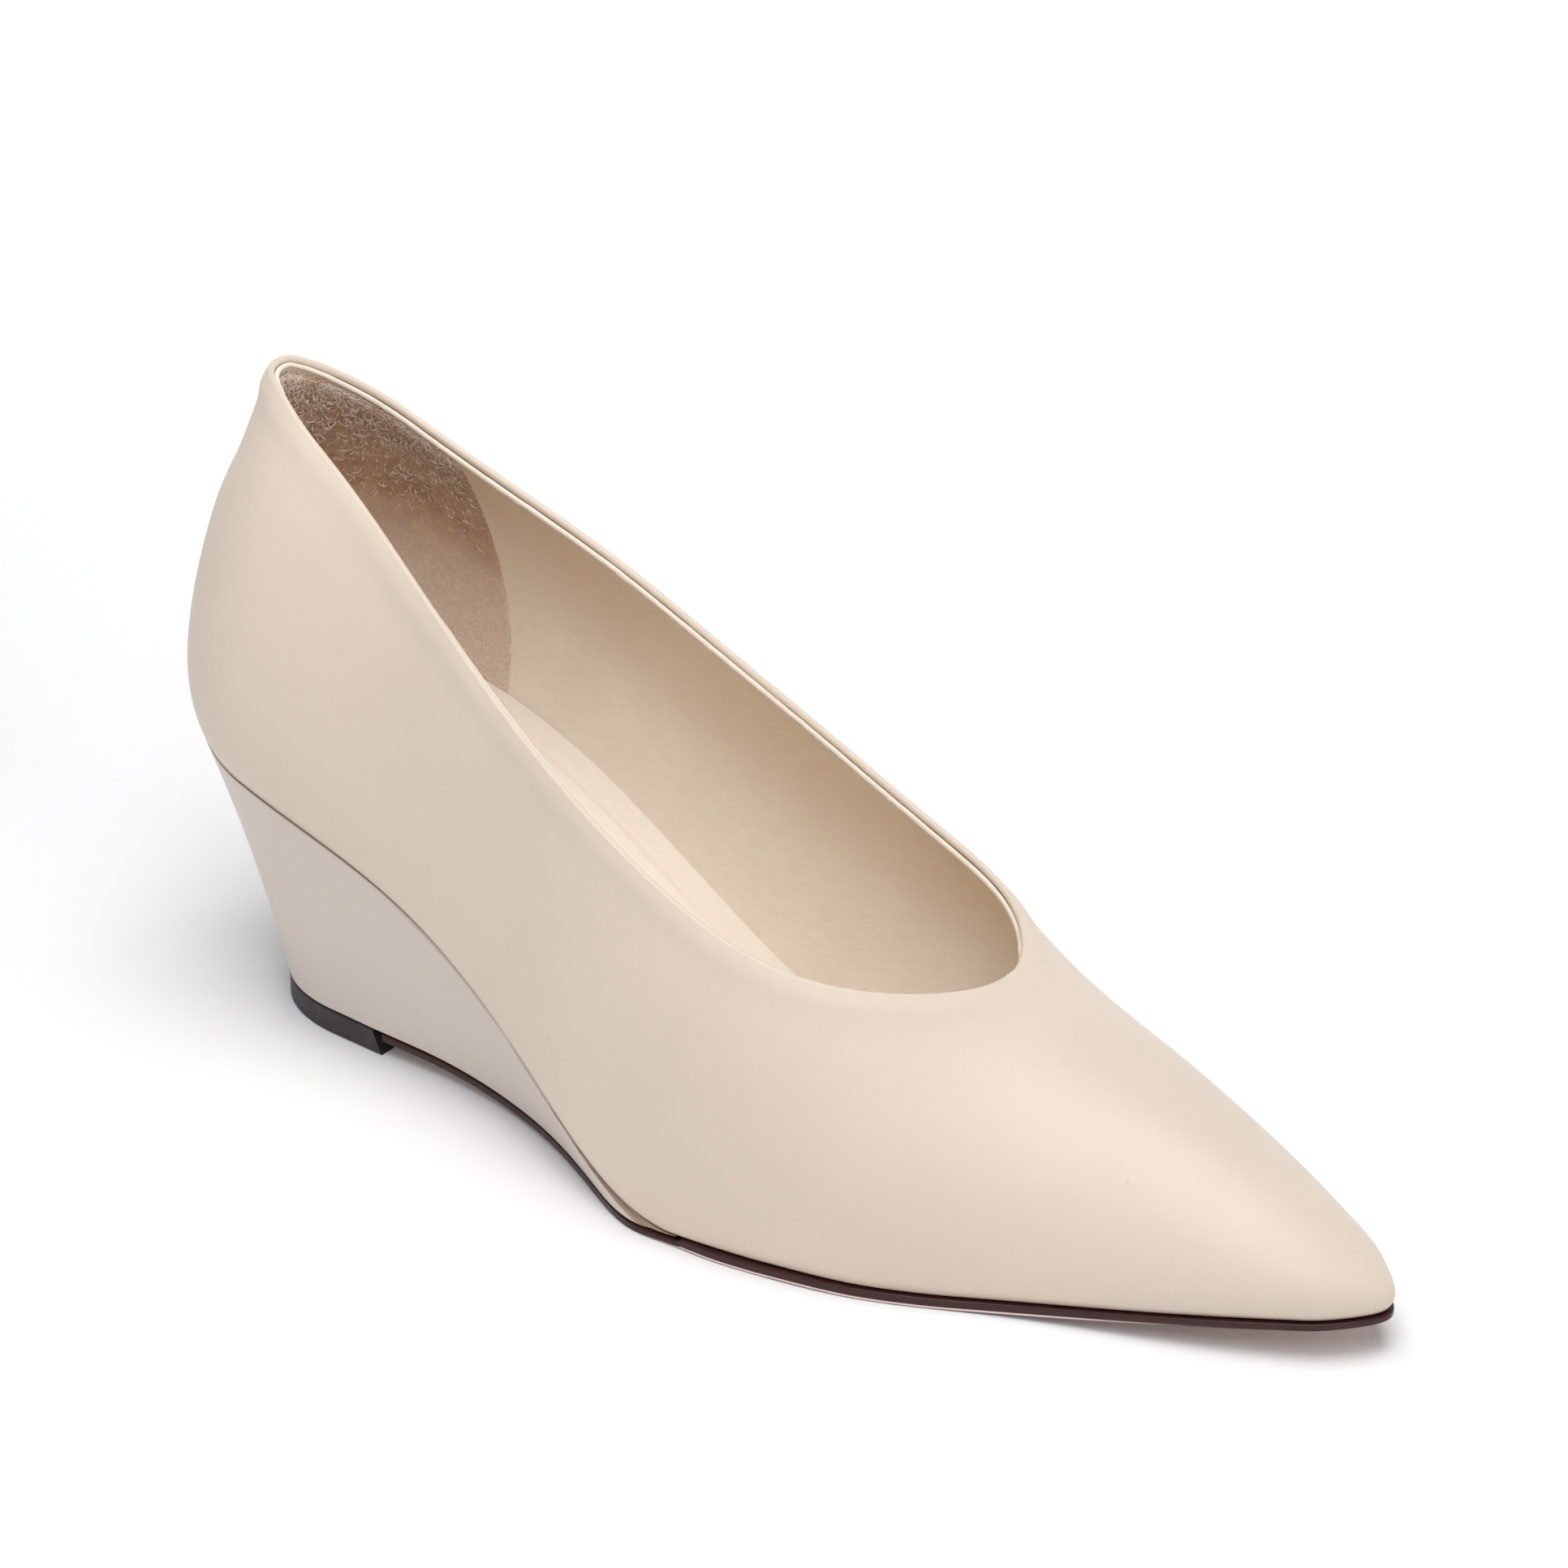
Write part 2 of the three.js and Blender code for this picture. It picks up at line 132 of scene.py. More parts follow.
# Shares of the seam line that the heel's cap, the toe's cap and the drawn in collar take up.
HEEL_CAP_SHARE = 0.16
TOE_CAP_SHARE = 0.9
PINCH_SHARE = 0.14

# Step to each side over which the slope of an outline is taken, and a millimetre in metres.
SHARE_STEP = 1e-3
MM = 0.001


# Shapes worked out with numpy


def natural_curve(columns, rows, column):
    """Smooth curve through one column of a table. Its pieces are cubics that share slope and
    bend where they meet, and the bend is zero at both ends."""
    x = np.array([row[0] for row in rows], float)
    y = np.array([row[columns.index(column)] for row in rows], float)
    gap = np.diff(x)
    count = len(x)
    system = np.eye(count)
    pull = np.zeros(count)
    inner = np.arange(1, count - 1)
    system[inner, inner - 1] = gap[:-1]
    system[inner, inner] = 2 * (gap[:-1] + gap[1:])
    system[inner, inner + 1] = gap[1:]
    pull[inner] = 6 * np.diff(np.diff(y) / gap)
    bend = np.linalg.solve(system, pull)

    def at(place):
        place = np.asarray(place, float)
        i = np.clip(np.searchsorted(x, place, side="right") - 1, 0, count - 2)
        a = (x[i + 1] - place) / gap[i]
        b = 1 - a
        curve = ((a**3 - a) * bend[i] + (b**3 - b) * bend[i + 1]) * gap[i] ** 2
        return a * y[i] + b * y[i + 1] + curve / 6

    return at


def smooth(share):
    """Eased step: 3 s squared minus 2 s cubed, with s held between 0 and 1."""
    held = np.clip(share, 0, 1)
    return held * held * (3 - 2 * held)


def bell(place, middle, width):
    """Bell curve: e to the power of minus the square of the distance from the middle by width."""
    return np.exp(-(((place - middle) / width) ** 2))


def unit(vectors):
    """The same vectors with length one."""
    return vectors / np.maximum(np.linalg.norm(vectors, axis=-1, keepdims=True), 1e-12)


class Last:
    """The shoe last. Signed shares name its ribs: 0 is the back of the heel, -1 and 1 are the toe
    tip, negative shares are on the outer side and positive ones on the inner side."""

    def __init__(self, sizes):
        self.sizes = sizes
        self.length = sizes.shoe_length
        for name in LAST_COLUMNS[1:]:
            setattr(self, name, natural_curve(LAST_COLUMNS, LAST_ROWS, name))
        self.top = {
            side: natural_curve(TOPLINE_COLUMNS, TOPLINE_ROWS, side) for side in TOPLINE_COLUMNS[1:]
        }
        self.waist = {
            name: natural_curve(WAIST_COLUMNS, WAIST_ROWS, name) for name in WAIST_COLUMNS[1:]
        }
        self.drop = {side: lambda x: 0 * x for side in TOPLINE_COLUMNS[1:]}

    def seat_height(self, x):
        """Height of the seam line: the seat column times the heel's height, over the sole."""
        floor = self.sizes.sole_thickness + self.sizes.glue_gap
        return np.maximum(floor, self.sizes.heel_seat_height * self.seat(x / self.length))

    def crest_height(self, x):
        """Height of the line along the top of the last."""
        return self.sizes.instep_height * self.crest(x / self.length)

    def top_height(self, x, side):
        """Height of the collar's edge in the side view, level behind the table's first row."""
        at = np.maximum(x / self.length, TOPLINE_ROWS[0][0])
        return self.sizes.collar_height * self.top[side](at) - self.drop[side](x)

    def station(self, share):
        """Place along the last and width share there: quarter circles at heel and toe, and a
        straight run between them."""
        heel = self.sizes.heel_cap_radius
        toe = self.sizes.toe_cap_radius
        share = np.asarray(share, float)
        heel_turn = np.clip(share / HEEL_CAP_SHARE, 0, 1) * math.pi / 2
        toe_turn = np.clip((1 - share) / (1 - TOE_CAP_SHARE), 0, 1) * math.pi / 2
        along = (share - HEEL_CAP_SHARE) / (TOE_CAP_SHARE - HEEL_CAP_SHARE)
        x = heel + (self.length - heel - toe) * along
        x = np.where(share < HEEL_CAP_SHARE, heel * (1 - np.cos(heel_turn)), x)
        x = np.where(share > TOE_CAP_SHARE, self.length - toe * (1 - np.cos(toe_turn)), x)
        return x, np.sin(heel_turn) * np.sin(toe_turn)

    def share_at(self, x):
        """Share of the rib whose foot stands at x, between the two caps."""
        heel = self.sizes.heel_cap_radius
        run = self.length - heel - self.sizes.toe_cap_radius
        return HEEL_CAP_SHARE + (x - heel) / run * (TOE_CAP_SHARE - HEEL_CAP_SHARE)

    def seam(self, share, side):
        """Place and half width of the seam line."""
        x, cap = self.station(share)
        return x, self.sizes.ball_width * getattr(self, side)(x / self.length) * cap

    def inset(self, outline, share, side, inset):
        """Outline moved inwards: each point goes along the normal of its neighbours' chord."""
        share = np.asarray(share, float)
        x, half = outline(share, side)
        xa, ha = outline(np.clip(share - SHARE_STEP, 0, 1), side)
        xb, hb = outline(np.clip(share + SHARE_STEP, 0, 1), side)
        chord = np.hypot(xb - xa, hb - ha)
        moved_x = x + inset * (hb - ha) / chord
        moved_half = np.maximum(0, half - inset * (xb - xa) / chord)
        moved_x = np.where(share <= 0, x + inset, np.where(share >= 1, x - inset, moved_x))
        return moved_x, np.where((share <= 0) | (share >= 1), 0, moved_half)

    def level(self, outline, share, inset=0.0):
        """Mean place, outer half width and inner half width of an outline moved inwards."""
        x_outer, outer = self.inset(outline, share, "outer", inset)
        x_inner, inner = self.inset(outline, share, "inner", inset)
        return (x_outer + x_inner) / 2, outer, inner

    def ribs(self, signed):
        """Four control points of each rib, from the seam line up and over to the crest line."""
        signed = np.asarray(signed, float)
        share = np.abs(signed)
        x, cap = self.station(share)
        at = x / self.length
        width = np.where(signed < 0, -self.outer(at), self.inner(at))
        foot = np.stack([x, self.sizes.ball_width * width * cap, self.seat_height(x)], -1)
        heel_lean = np.clip(1 - x / self.sizes.heel_lean_span, 0, 1) ** 2
        toe_lean = np.clip(1 - (self.length - x) / self.sizes.toe_lean_span, 0, 1) ** 2
        crest_x = x + self.sizes.heel_lean_reach * heel_lean - self.sizes.toe_lean_reach * toe_lean
        crest = np.stack([crest_x, 0 * crest_x, self.crest_height(crest_x)], -1)
        out = foot - crest
        out[..., 2] = 0
        reach = np.linalg.norm(out, axis=-1, keepdims=True)
        out = out / reach
        step = 0.5 * MM
        slope = (self.crest_height(crest_x + step) - self.crest_height(crest_x - step)) / (2 * step)
        up = np.array([0.0, 0.0, 1.0])
        rise = (self.rise(at) * (crest[..., 2] - foot[..., 2]))[..., None]
        level = self.flat(at)[..., None] * reach
        swell = foot + out * self.bulge(at)[..., None] * reach + up * rise
        shoulder = crest + out * level + up * (slope * out[..., 0])[..., None] * level
        return np.stack([foot, swell, shoulder, crest], -2)

    def on_rib(self, ribs, share, t):
        """Points on the ribs at shares t: the usual cubic weights of the four control points. The
        back of the collar is then drawn in by a bell that is wider above than below."""
        t = np.asarray(t, float)[..., None]
        a = 1 - t
        p = ribs[:, None]
        points = a**3 * p[:, :, 0] + 3 * a * a * t * p[:, :, 1]
        points = points + 3 * a * t * t * p[:, :, 2] + t**3 * p[:, :, 3]
        sizes = self.sizes
        fade = 1 - smooth(np.abs(share) / PINCH_SHARE)
        up = points[..., 2] - (sizes.collar_height - sizes.pinch_drop)
        drawn = bell(up, 0, np.where(up < 0, sizes.pinch_below, sizes.pinch_above))
        inwards = ribs[:, 3] - ribs[:, 0]
        inwards = unit(inwards * np.array([1.0, 1.0, 0.0]))
        return points + (sizes.pinch_depth * fade[:, None] * drawn)[..., None] * inwards[:, None]

    def throat(self):
        """Place where the collar's edge meets the crest line, halved in on 50 times."""
        low, high = 0.6 * self.length, 0.8 * self.length
        for _ in range(50):
            middle = (low + high) / 2
            if self.crest_height(middle) > self.top_height(middle, "outer"):
                low = middle
            else:
                high = middle
        return (low + high) / 2

    def top_share(self, ribs, share, side):
        """How far up its rib the collar's edge lies: the first crossing, halved in on."""
        tries = 200
        t = np.tile(np.linspace(0, 1, tries + 1), (len(ribs), 1))
        points = self.on_rib(ribs, share, t)
        above = points[..., 2] > self.top_height(points[..., 0], side)
        first = np.where(above.any(1), above.argmax(1), tries)
        low, high = (first - 1.0) / tries, first / tries
        for _ in range(30):
            middle = (low + high) / 2
            point = self.on_rib(ribs, share, middle[:, None])[:, 0]
            over = point[:, 2] > self.top_height(point[:, 0], side)
            high = np.where(over, middle, high)
            low = np.where(over, low, middle)
        return np.where(above.any(1), (low + high) / 2, 1)

    def surface(self, signed, t):
        """Point on the outside of the last for a signed share and a share t of the rib."""
        flat = np.ravel(signed)
        points = self.on_rib(self.ribs(flat), flat, np.ravel(t)[:, None])[:, 0]
        return points.reshape(np.shape(signed) + (3,))

    def outward(self, signed, t):
        """Normal of the last's surface: the cross product of its two slopes."""
        step = 1e-4
        low, high = np.clip(t - step, 0, 1), np.clip(t + step, 0, 1)
        up = self.surface(signed, high) - self.surface(signed, low)
        along = self.surface(signed + step, t) - self.surface(signed - step, t)
        return unit(np.cross(up, along))


def shares(start, end, count, crowd=1.0):
    """Shares from start up to but without end, crowded towards the end."""
    return end - (end - start) * (1 - np.arange(count) / count) ** crowd


def stations(*spans):
    """Shares along spans of start, end, count and crowding, closed by the end of the last."""
    return np.concatenate([shares(*span) for span in spans] + [[spans[-1][1]]])


def face_normals(points, faces):
    """Normal of each four-cornered face: the cross product of its two diagonals."""
    a, b, c, d = (points[faces[:, k]] for k in range(4))
    return np.cross(c - a, d - b)


def point_normals(points, faces):
    """Sum of the normals of the faces round each point, with length one."""
    total = np.zeros_like(points)
    face = face_normals(points, faces)
    for k in range(4):
        np.add.at(total, faces[:, k], face)
    return unit(total)


def strip(ids):
    """Faces of a grid of point numbers, row by row."""
    corners = (ids[:-1, :-1], ids[1:, :-1], ids[1:, 1:], ids[:-1, 1:])
    return np.stack([corner.ravel() for corner in corners], -1)


def ring(ids):
    """The same grid with its first row put after its last, so that it closes."""
    return np.concatenate([ids, ids[:1]], 0)


def distance_to(points, line):
    """Distance from each point of a grid to the nearest point of a line."""
    columns = np.moveaxis(points, 1, 0)
    rows = [np.linalg.norm(column[:, None] - line[None], axis=2).min(1) for column in columns]
    return np.stack(rows, 1)


def wobble(place, lengths, turns):
    """Slow hand-made unevenness between -1 and 1: a mean of sines of these wave lengths."""
    waves = [np.sin(2 * math.pi * place / length + turn) for length, turn in zip(lengths, turns)]
    return np.mean(waves, 0)


class UpperGrid:
    """Grid over the outside of the upper: a closed round of ribs, outer side first, each cut
    where the collar's edge crosses it or run up to the crest line in front of the throat."""

    def __init__(self, last, steps, rows, foot_round):
        throat_share = last.share_at(last.throat())
        heel, quarter, vamp, toe = steps
        half = stations(
            (0, HEEL_CAP_SHARE, heel),
            (HEEL_CAP_SHARE, throat_share, quarter, 1.5),
            (throat_share, TOE_CAP_SHARE, vamp),
            (TOE_CAP_SHARE, 1, toe),
        )
        open_count = heel + quarter
        signed = np.concatenate([-half, half[-2:0:-1]])
        ribs = last.ribs(signed)
        end = np.ones(len(signed))
        is_open = np.abs(signed) < throat_share - 1e-9
        outer = signed <= 0
        for side, chosen in (("outer", is_open & outer), ("inner", is_open & ~outer)):
            end[chosen] = last.top_share(ribs[chosen], signed[chosen], side)
        count = len(half)
        points, start = self.columns(last, ribs, signed, end, rows, foot_round)
        self.points = points
        self.first_row = start
        ids = np.arange(points.shape[0] * points.shape[1]).reshape(points.shape[:2])
        closed = np.arange(open_count, count - 1)
        ids[2 * count - 2 - closed, -1] = ids[closed, -1]
        self.ids = ids
        self.faces = strip(ring(ids))
        self.flat = points.reshape(-1, 3)
        self.normals = point_normals(self.flat, self.faces)
        outer_loop = np.arange(0, open_count + 1)
        inner_loop = np.arange(2 * count - 1 - open_count, 2 * count - 2)
        self.loop_columns = np.concatenate([outer_loop, inner_loop])
        self.loop = ids[self.loop_columns, -1]
        edge = self.flat[self.loop]
        along = unit(np.roll(edge, -1, 0) - np.roll(edge, 1, 0))
        self.loop_up = unit(np.cross(along, self.normals[self.loop]))
        below = edge - points[self.loop_columns, -2]
        if (self.loop_up * below).sum() < 0:
            self.loop_up = -self.loop_up
        self.loop_outer = signed[self.loop_columns] <= 0
        self.edge = edge

    def columns(self, last, ribs, signed, end, rows, foot_round):
        """Points up each rib, crowded towards its end. The lowest rows turn in under the leather's
        edge on a quarter circle that starts where the rib is at its steepest."""
        foot, swell = ribs[:, 0], ribs[:, 1]
        climb = unit(swell - foot)
        out = foot - ribs[:, 3]
        out[:, 2] = 0
        out = unit(out)
        side = unit(out - climb * (out * climb).sum(1, keepdims=True))
        sink = 0.15 * MM
        height = foot_round * (1 + side[:, 2]) - sink
        start = height / (3 * (swell[:, 2] - foot[:, 2]))
        way = 1 - (1 - np.linspace(0, 1, rows)) ** 1.35
        t = start[:, None] + (end - start)[:, None] * way
        body = last.on_rib(ribs, signed, t)
        turns = np.linspace(1.45, 0, 7)[:-1]
        centre = body[:, 0] - side * foot_round
        arc = centre[:, None] + foot_round * (
            np.cos(turns)[:, None] * side[:, None] - np.sin(turns)[:, None] * climb[:, None]
        )
        return np.concatenate([arc, body], 1), len(turns)


def collar_grid(last, steps, rows, foot_round, fold):
    """The upper's grid with its edge drawn back by the fold's radius, so that the fold's top comes
    where the last's own edge is. The first try gives the direction of the edge. At the back both
    sides fall by the same amount."""
    level_run, blend_run = 0.3 * MM, 7 * MM
    first = UpperGrid(last, steps, rows, foot_round)
    x = first.edge[:, 0]
    for side, chosen in (("outer", first.loop_outer), ("inner", ~first.loop_outer)):
        order = np.argsort(x[chosen])
        xs = x[chosen][order]
        up = first.loop_up[chosen][order]
        slope = (last.top_height(xs + MM, side) - last.top_height(xs - MM, side)) / (2 * MM)
        falls = fold * np.abs(up[:, 2] - slope * up[:, 0])
        falls = fold + (falls - fold) * smooth((xs - x.min() - level_run) / blend_run)
        last.drop[side] = lambda place, xs=xs, falls=falls: np.interp(place, xs, falls)
    return UpperGrid(last, steps, rows, foot_round)


def shell(grid, first_row, near, far, lowered=0.0, ripple=None):
    """Closed leather shell between two distances under the grid. The distances may change from
    point to point. Over the collar's edge it turns on half a circle, and underneath it is flat."""
    ids = grid.ids[:, first_row:]
    flat = grid.flat.copy()
    flat[grid.loop] -= grid.loop_up * lowered
    near = np.broadcast_to(near, flat.shape[:1])[:, None]
    far = np.broadcast_to(far, flat.shape[:1])[:, None]
    outside = flat - grid.normals * near
    inside = flat - grid.normals * far
    foot = ids[:, 0]
    outside[foot, 2] = np.maximum(outside[foot, 2], flat[foot, 2])
    inside[foot, 2] = np.maximum(inside[foot, 2], flat[foot, 2])
    total = len(flat)
    half = ((near + far) / 2)[grid.loop]
    radius = ((far - near) / 2)[grid.loop]
    if ripple is not None:
        radius = radius * (1 + ripple[:, None])
    turns = np.linspace(0, math.pi, 13)[1:-1]
    centre = flat[grid.loop] - grid.normals[grid.loop] * half
    fold = centre[:, None] + radius[:, None] * (
        np.cos(turns)[:, None] * grid.normals[grid.loop][:, None]
        + np.sin(turns)[:, None] * grid.loop_up[:, None]
    )
    fold_ids = 2 * total + np.arange(fold.shape[0] * fold.shape[1]).reshape(fold.shape[:2])
    over = np.concatenate([grid.loop[:, None], fold_ids, grid.loop[:, None] + total], 1)
    under = np.stack([ids[:, 0] + total, ids[:, 0]], 1)
    faces = np.concatenate(
        [
            strip(ring(ids)),
            strip(ring(ids))[:, ::-1] + total,
            strip(ring(over)),
            strip(ring(under)),
        ]
    )
    return np.concatenate([outside, inside, fold.reshape(-1, 3)]), faces


def patch(top, bottom):
    """Closed body from a grid for its upper face and one for its lower face, joined at the rim."""
    shape = top.shape[:2]
    total = shape[0] * shape[1]
    ids = np.arange(total).reshape(shape)
    round_trip = np.concatenate([ids[:-1, 0], ids[-1, :-1], ids[:0:-1, -1], ids[0, :0:-1]])
    wall = np.stack([round_trip + total, round_trip], 1)
    faces = np.concatenate([strip(ids), strip(ids)[:, ::-1] + total, strip(ring(wall))])
    return np.concatenate([top.reshape(-1, 3), bottom.reshape(-1, 3)]), faces


def tube(rings, capped=()):
    """Body from closed rings one after another. An end that isn't a point or a line gets a fan
    of faces round its middle."""
    count, around = rings.shape[:2]
    ids = np.arange(count * around).reshape(count, around)
    wrap = np.concatenate([ids, ids[:, :1]], 1)
    faces = [strip(wrap)[:, ::-1]]
    points = [rings.reshape(-1, 3)]
    total = count * around
    for end in capped:
        row = ids[0] if end == "first" else ids[-1]
        middle = rings[0 if end == "first" else -1].mean(0)
        points.append(middle[None])
        after = np.roll(row, -1)
        centre = np.full(around, total)
        total += 1
        order = (centre, after, row, row) if end == "last" else (centre, row, after, after)
        faces.append(np.stack(order, -1))
    return np.concatenate(points), np.concatenate(faces)


def curls(places, normals, along, lengths, widths, turns, bends):
    """Small curved fibres that lie on a surface, each a closed spindle of five three-cornered
    rings. A fibre starts at its place, runs off at its turn, bends aside by a square law and
    arches off the surface by half a sine wave."""
    way = np.linspace(0, 1, 5)[None, :, None]
    across = np.cross(normals, along)
    ahead = along * np.cos(turns)[:, None] + across * np.sin(turns)[:, None]
    aside = across * np.cos(turns)[:, None] - along * np.sin(turns)[:, None]
    lengths, bends = lengths[:, None, None], bends[:, None, None]
    lift = 0.16 * lengths * np.sin(math.pi * way)
    middle = (
        places[:, None]
        + ahead[:, None] * lengths * way
        + aside[:, None] * lengths * bends * way**2
        + normals[:, None] * lift
    )
    half = 0.5 * widths[:, None, None] * np.sin(math.pi * (0.07 + 0.86 * way))
    side = unit(aside[:, None] - ahead[:, None] * 2 * bends * way)
    rings = np.stack([middle - side * half, middle + side * half, middle + normals[:, None] * half], 2)
    ids = np.arange(len(places) * 15).reshape(-1, 5, 3)
    after = np.roll(ids, -1, 2)
    walls = np.stack([ids[:, :-1], after[:, :-1], after[:, 1:], ids[:, 1:]], -1).reshape(-1, 4)
    tips = [ids[:, 0, [2, 1, 0, 0]], ids[:, -1, [0, 1, 2, 2]]]
    return rings.reshape(-1, 3), np.concatenate([walls] + tips)


def corner_profile(height, radius, steps, middle):
    """Side of a block as shares up its height and insets: a quarter circle at each edge, straight
    between them. Columns are stations along the block."""
    turns = np.linspace(0, math.pi / 2, steps)
    low_inset = radius[:, None] * (1 - np.sin(turns))
    low_up = radius[:, None] * (1 - np.cos(turns)) / height[:, None]
    between = np.linspace(0, 1, middle + 2)[1:-1]
    first, last = low_up[:, -1:], 1 - low_up[:, -1:]
    ups = np.concatenate([low_up, first + (last - first) * between, 1 - low_up[:, ::-1]], 1)
    flat = np.zeros((len(height), middle))
    return ups, np.concatenate([low_inset, flat, low_inset[:, ::-1]], 1)


def block_rings(last, low, high, share, profile, across=13, hollow=0.0):
    """Rings round a block between a low and a high outline. low and high are (outline, height).
    Each ring runs under the block to the inner side, up, back over the top and down again. The
    sides follow the profile's insets and are hollowed by a parabola."""
    ups, insets = profile
    total = insets + np.broadcast_to(hollow, share.shape)[:, None] * 4 * ups * (1 - ups)
    low_x = last.level(low[0], share)[0][:, None]
    high_x = last.level(high[0], share)[0][:, None]
    low_z, high_z = low[1](low_x), high[1](high_x)
    behind = last.level(low[0], np.clip(share - SHARE_STEP, 0, 1))
    ahead = last.level(low[0], np.clip(share + SHARE_STEP, 0, 1))
    run = ahead[0] - behind[0]
    sides = {}
    for side, way, column in (("outer", -1, 1), ("inner", 1, 2)):
        low_half = low[0](share, side)[1][:, None]
        high_half = high[0](share, side)[1][:, None]
        widening = ahead[column] - behind[column]
        chord = np.maximum(np.hypot(run, widening), 1e-12)
        x = low_x + (high_x - low_x) * ups + total * (widening / chord)[:, None]
        half = low_half + (high_half - low_half) * ups - total * (run / chord)[:, None]
        z = low_z + (high_z - low_z) * ups
        sides[side] = np.stack([x, way * np.maximum(0, half), z], -1)
    share_across = np.linspace(0, 1, across)[1:-1][None, :, None]
    under = sides["outer"][:, :1] * (1 - share_across) + sides["inner"][:, :1] * share_across
    over = sides["inner"][:, -1:] * (1 - share_across) + sides["outer"][:, -1:] * share_across
    return np.concatenate([under, sides["inner"], over, sides["outer"][:, ::-1]], 1)


# Meshes and placing


def toe_tip():
    """The sole's foremost point, which ties the last's own frame to the shoe's."""
    node = frame["nodes"]["outsole"].data
    places = np.empty(len(node.vertices) * 3)
    node.vertices.foreach_get("co", places)
    places = places.reshape(-1, 3)
    return places[places[:, 0].argmax()]


def make_piece(name, points, faces, finish, marks=None):
    """One mesh object from points and four-cornered faces. Points that share a place become one,
    a face with two corners in one place becomes a triangle, and points of no face are dropped."""
    sizes = bpy.context.scene.wedge_pump_sizes
    tip = toe_tip()
    moved = points + np.array([tip[0] - sizes.shoe_length - sizes.sole_margin, tip[1], 0.0])
    same_place = 0.5e-6
    keys = np.round(moved / same_place).astype(np.int64)
    _, first, same = np.unique(keys, axis=0, return_index=True, return_inverse=True)
    faces = same.ravel()[faces]
    used = np.unique(faces)
    new_ids = np.zeros(len(first), np.int64)
    new_ids[used] = np.arange(len(used))
    faces = new_ids[faces]
    kept = moved[first[used]]
    after = np.roll(faces, -1, 1)
    repeats = (faces == after).sum(1) + (faces[:, 0] == faces[:, 2]) + (faces[:, 1] == faces[:, 3])
    whole = faces[repeats == 0]
    pinched = faces[repeats == 1]
    pinched = pinched[(pinched[:, 0] != pinched[:, 2]) & (pinched[:, 1] != pinched[:, 3])]
    drop = (pinched == np.roll(pinched, -1, 1)).argmax(1)
    order = (drop[:, None] + np.array([1, 2, 3])) % 4
    threes = np.take_along_axis(pinched, order, 1)
    mesh = bpy.data.meshes.new(name)
    mesh.from_pydata(kept.tolist(), [], whole.tolist() + threes.tolist())
    mesh.polygons.foreach_set("use_smooth", np.ones(len(mesh.polygons), bool))
    for mark, values in (marks or {}).items():
        layer = mesh.attributes.new(mark, "FLOAT", "POINT")
        layer.data.foreach_set("value", np.asarray(values, np.float32)[first[used]])
    mesh.validate()
    mesh.materials.append(finish)
    piece = bpy.data.objects.new(name, mesh)
    bpy.context.scene.collection.objects.link(piece)
    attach(piece, "root")
    return piece


# Materials


def feed(tree, node, inputs):
    """Sets a node's inputs, each to a value or to another node's output."""
    for key, value in inputs.items():
        if isinstance(value, bpy.types.NodeSocket):
            tree.links.new(value, node.inputs[key])
        else:
            node.inputs[key].default_value = value


def add(tree, kind, inputs=None, **settings):
    """A node with its settings and its inputs."""
    made = tree.nodes.new(kind)
    for key, value in settings.items():
        setattr(made, key, value)
    feed(tree, made, inputs or {})
    return made


def colour_mix(tree, factor, first, second):
    """Two colours mixed by a factor."""
    values = {0: factor, 6: first, 7: second}
    return add(tree, "ShaderNodeMix", values, data_type="RGBA").outputs[2]


def noise(tree, place, scale, detail=3.0, rough=0.5, twist=0.0):
    """Cloudy noise between 0 and 1."""
    values = {"Vector": place, "Scale": scale, "Detail": detail}
    values.update({"Roughness": rough, "Distortion": twist})
    return add(tree, "ShaderNodeTexNoise", values).outputs["Fac"]


def cells(tree, place, scale, feature="F1"):
    """Distance inside cells scattered through space."""
    values = {"Vector": place, "Scale": scale}
    return add(tree, "ShaderNodeTexVoronoi", values, feature=feature).outputs["Distance"]


def spread(tree, value, low, high, new_low=0.0, new_high=1.0):
    """The value carried from one span to another and held there."""
    values = {"Value": value, "From Min": low, "From Max": high, "To Min": new_low, "To Max": new_high}
    return add(tree, "ShaderNodeMapRange", values, clamp=True).outputs["Result"]


def stretched(tree, place, scale):
    """Coordinates scaled along each axis, which squeezes a pattern there."""
    values = {"Vector": place, "Scale": scale}
    return add(tree, "ShaderNodeMapping", values, vector_type="POINT").outputs["Vector"]


def maths(tree, kind, first, second):
    """One sum, product or other rule on two numbers."""
    return add(tree, "ShaderNodeMath", {0: first, 1: second}, operation=kind).outputs["Value"]


def mark(tree, name):
    """A number kept on the mesh's points."""
    return add(tree, "ShaderNodeAttribute", attribute_name=name).outputs["Fac"]


def raised(tree, height, strength, depth, normal=None):
    """Surface detail from a height."""
    values = {"Height": height, "Strength": strength, "Distance": depth}
    if normal is not None:
        values["Normal"] = normal
    return add(tree, "ShaderNodeBump", values).outputs["Normal"]


def finish_base(name, shader_values):
    """An empty material with its shader, its place coordinates and its output."""
    made = bpy.data.materials.new(name)
    made.use_nodes = True
    tree = made.node_tree
    tree.nodes.clear()
    shader = add(tree, "ShaderNodeBsdfPrincipled", shader_values)
    output = add(tree, "ShaderNodeOutputMaterial")
    tree.links.new(shader.outputs["BSDF"], output.inputs["Surface"])
    place = add(tree, "ShaderNodeTexCoord").outputs["Object"]
    return made, tree, shader, place


def rgba(colour, scale=1.0):
    """Colour with full cover, made darker or lighter by a scale."""
    return (colour[0] * scale, colour[1] * scale, colour[2] * scale, 1.0)


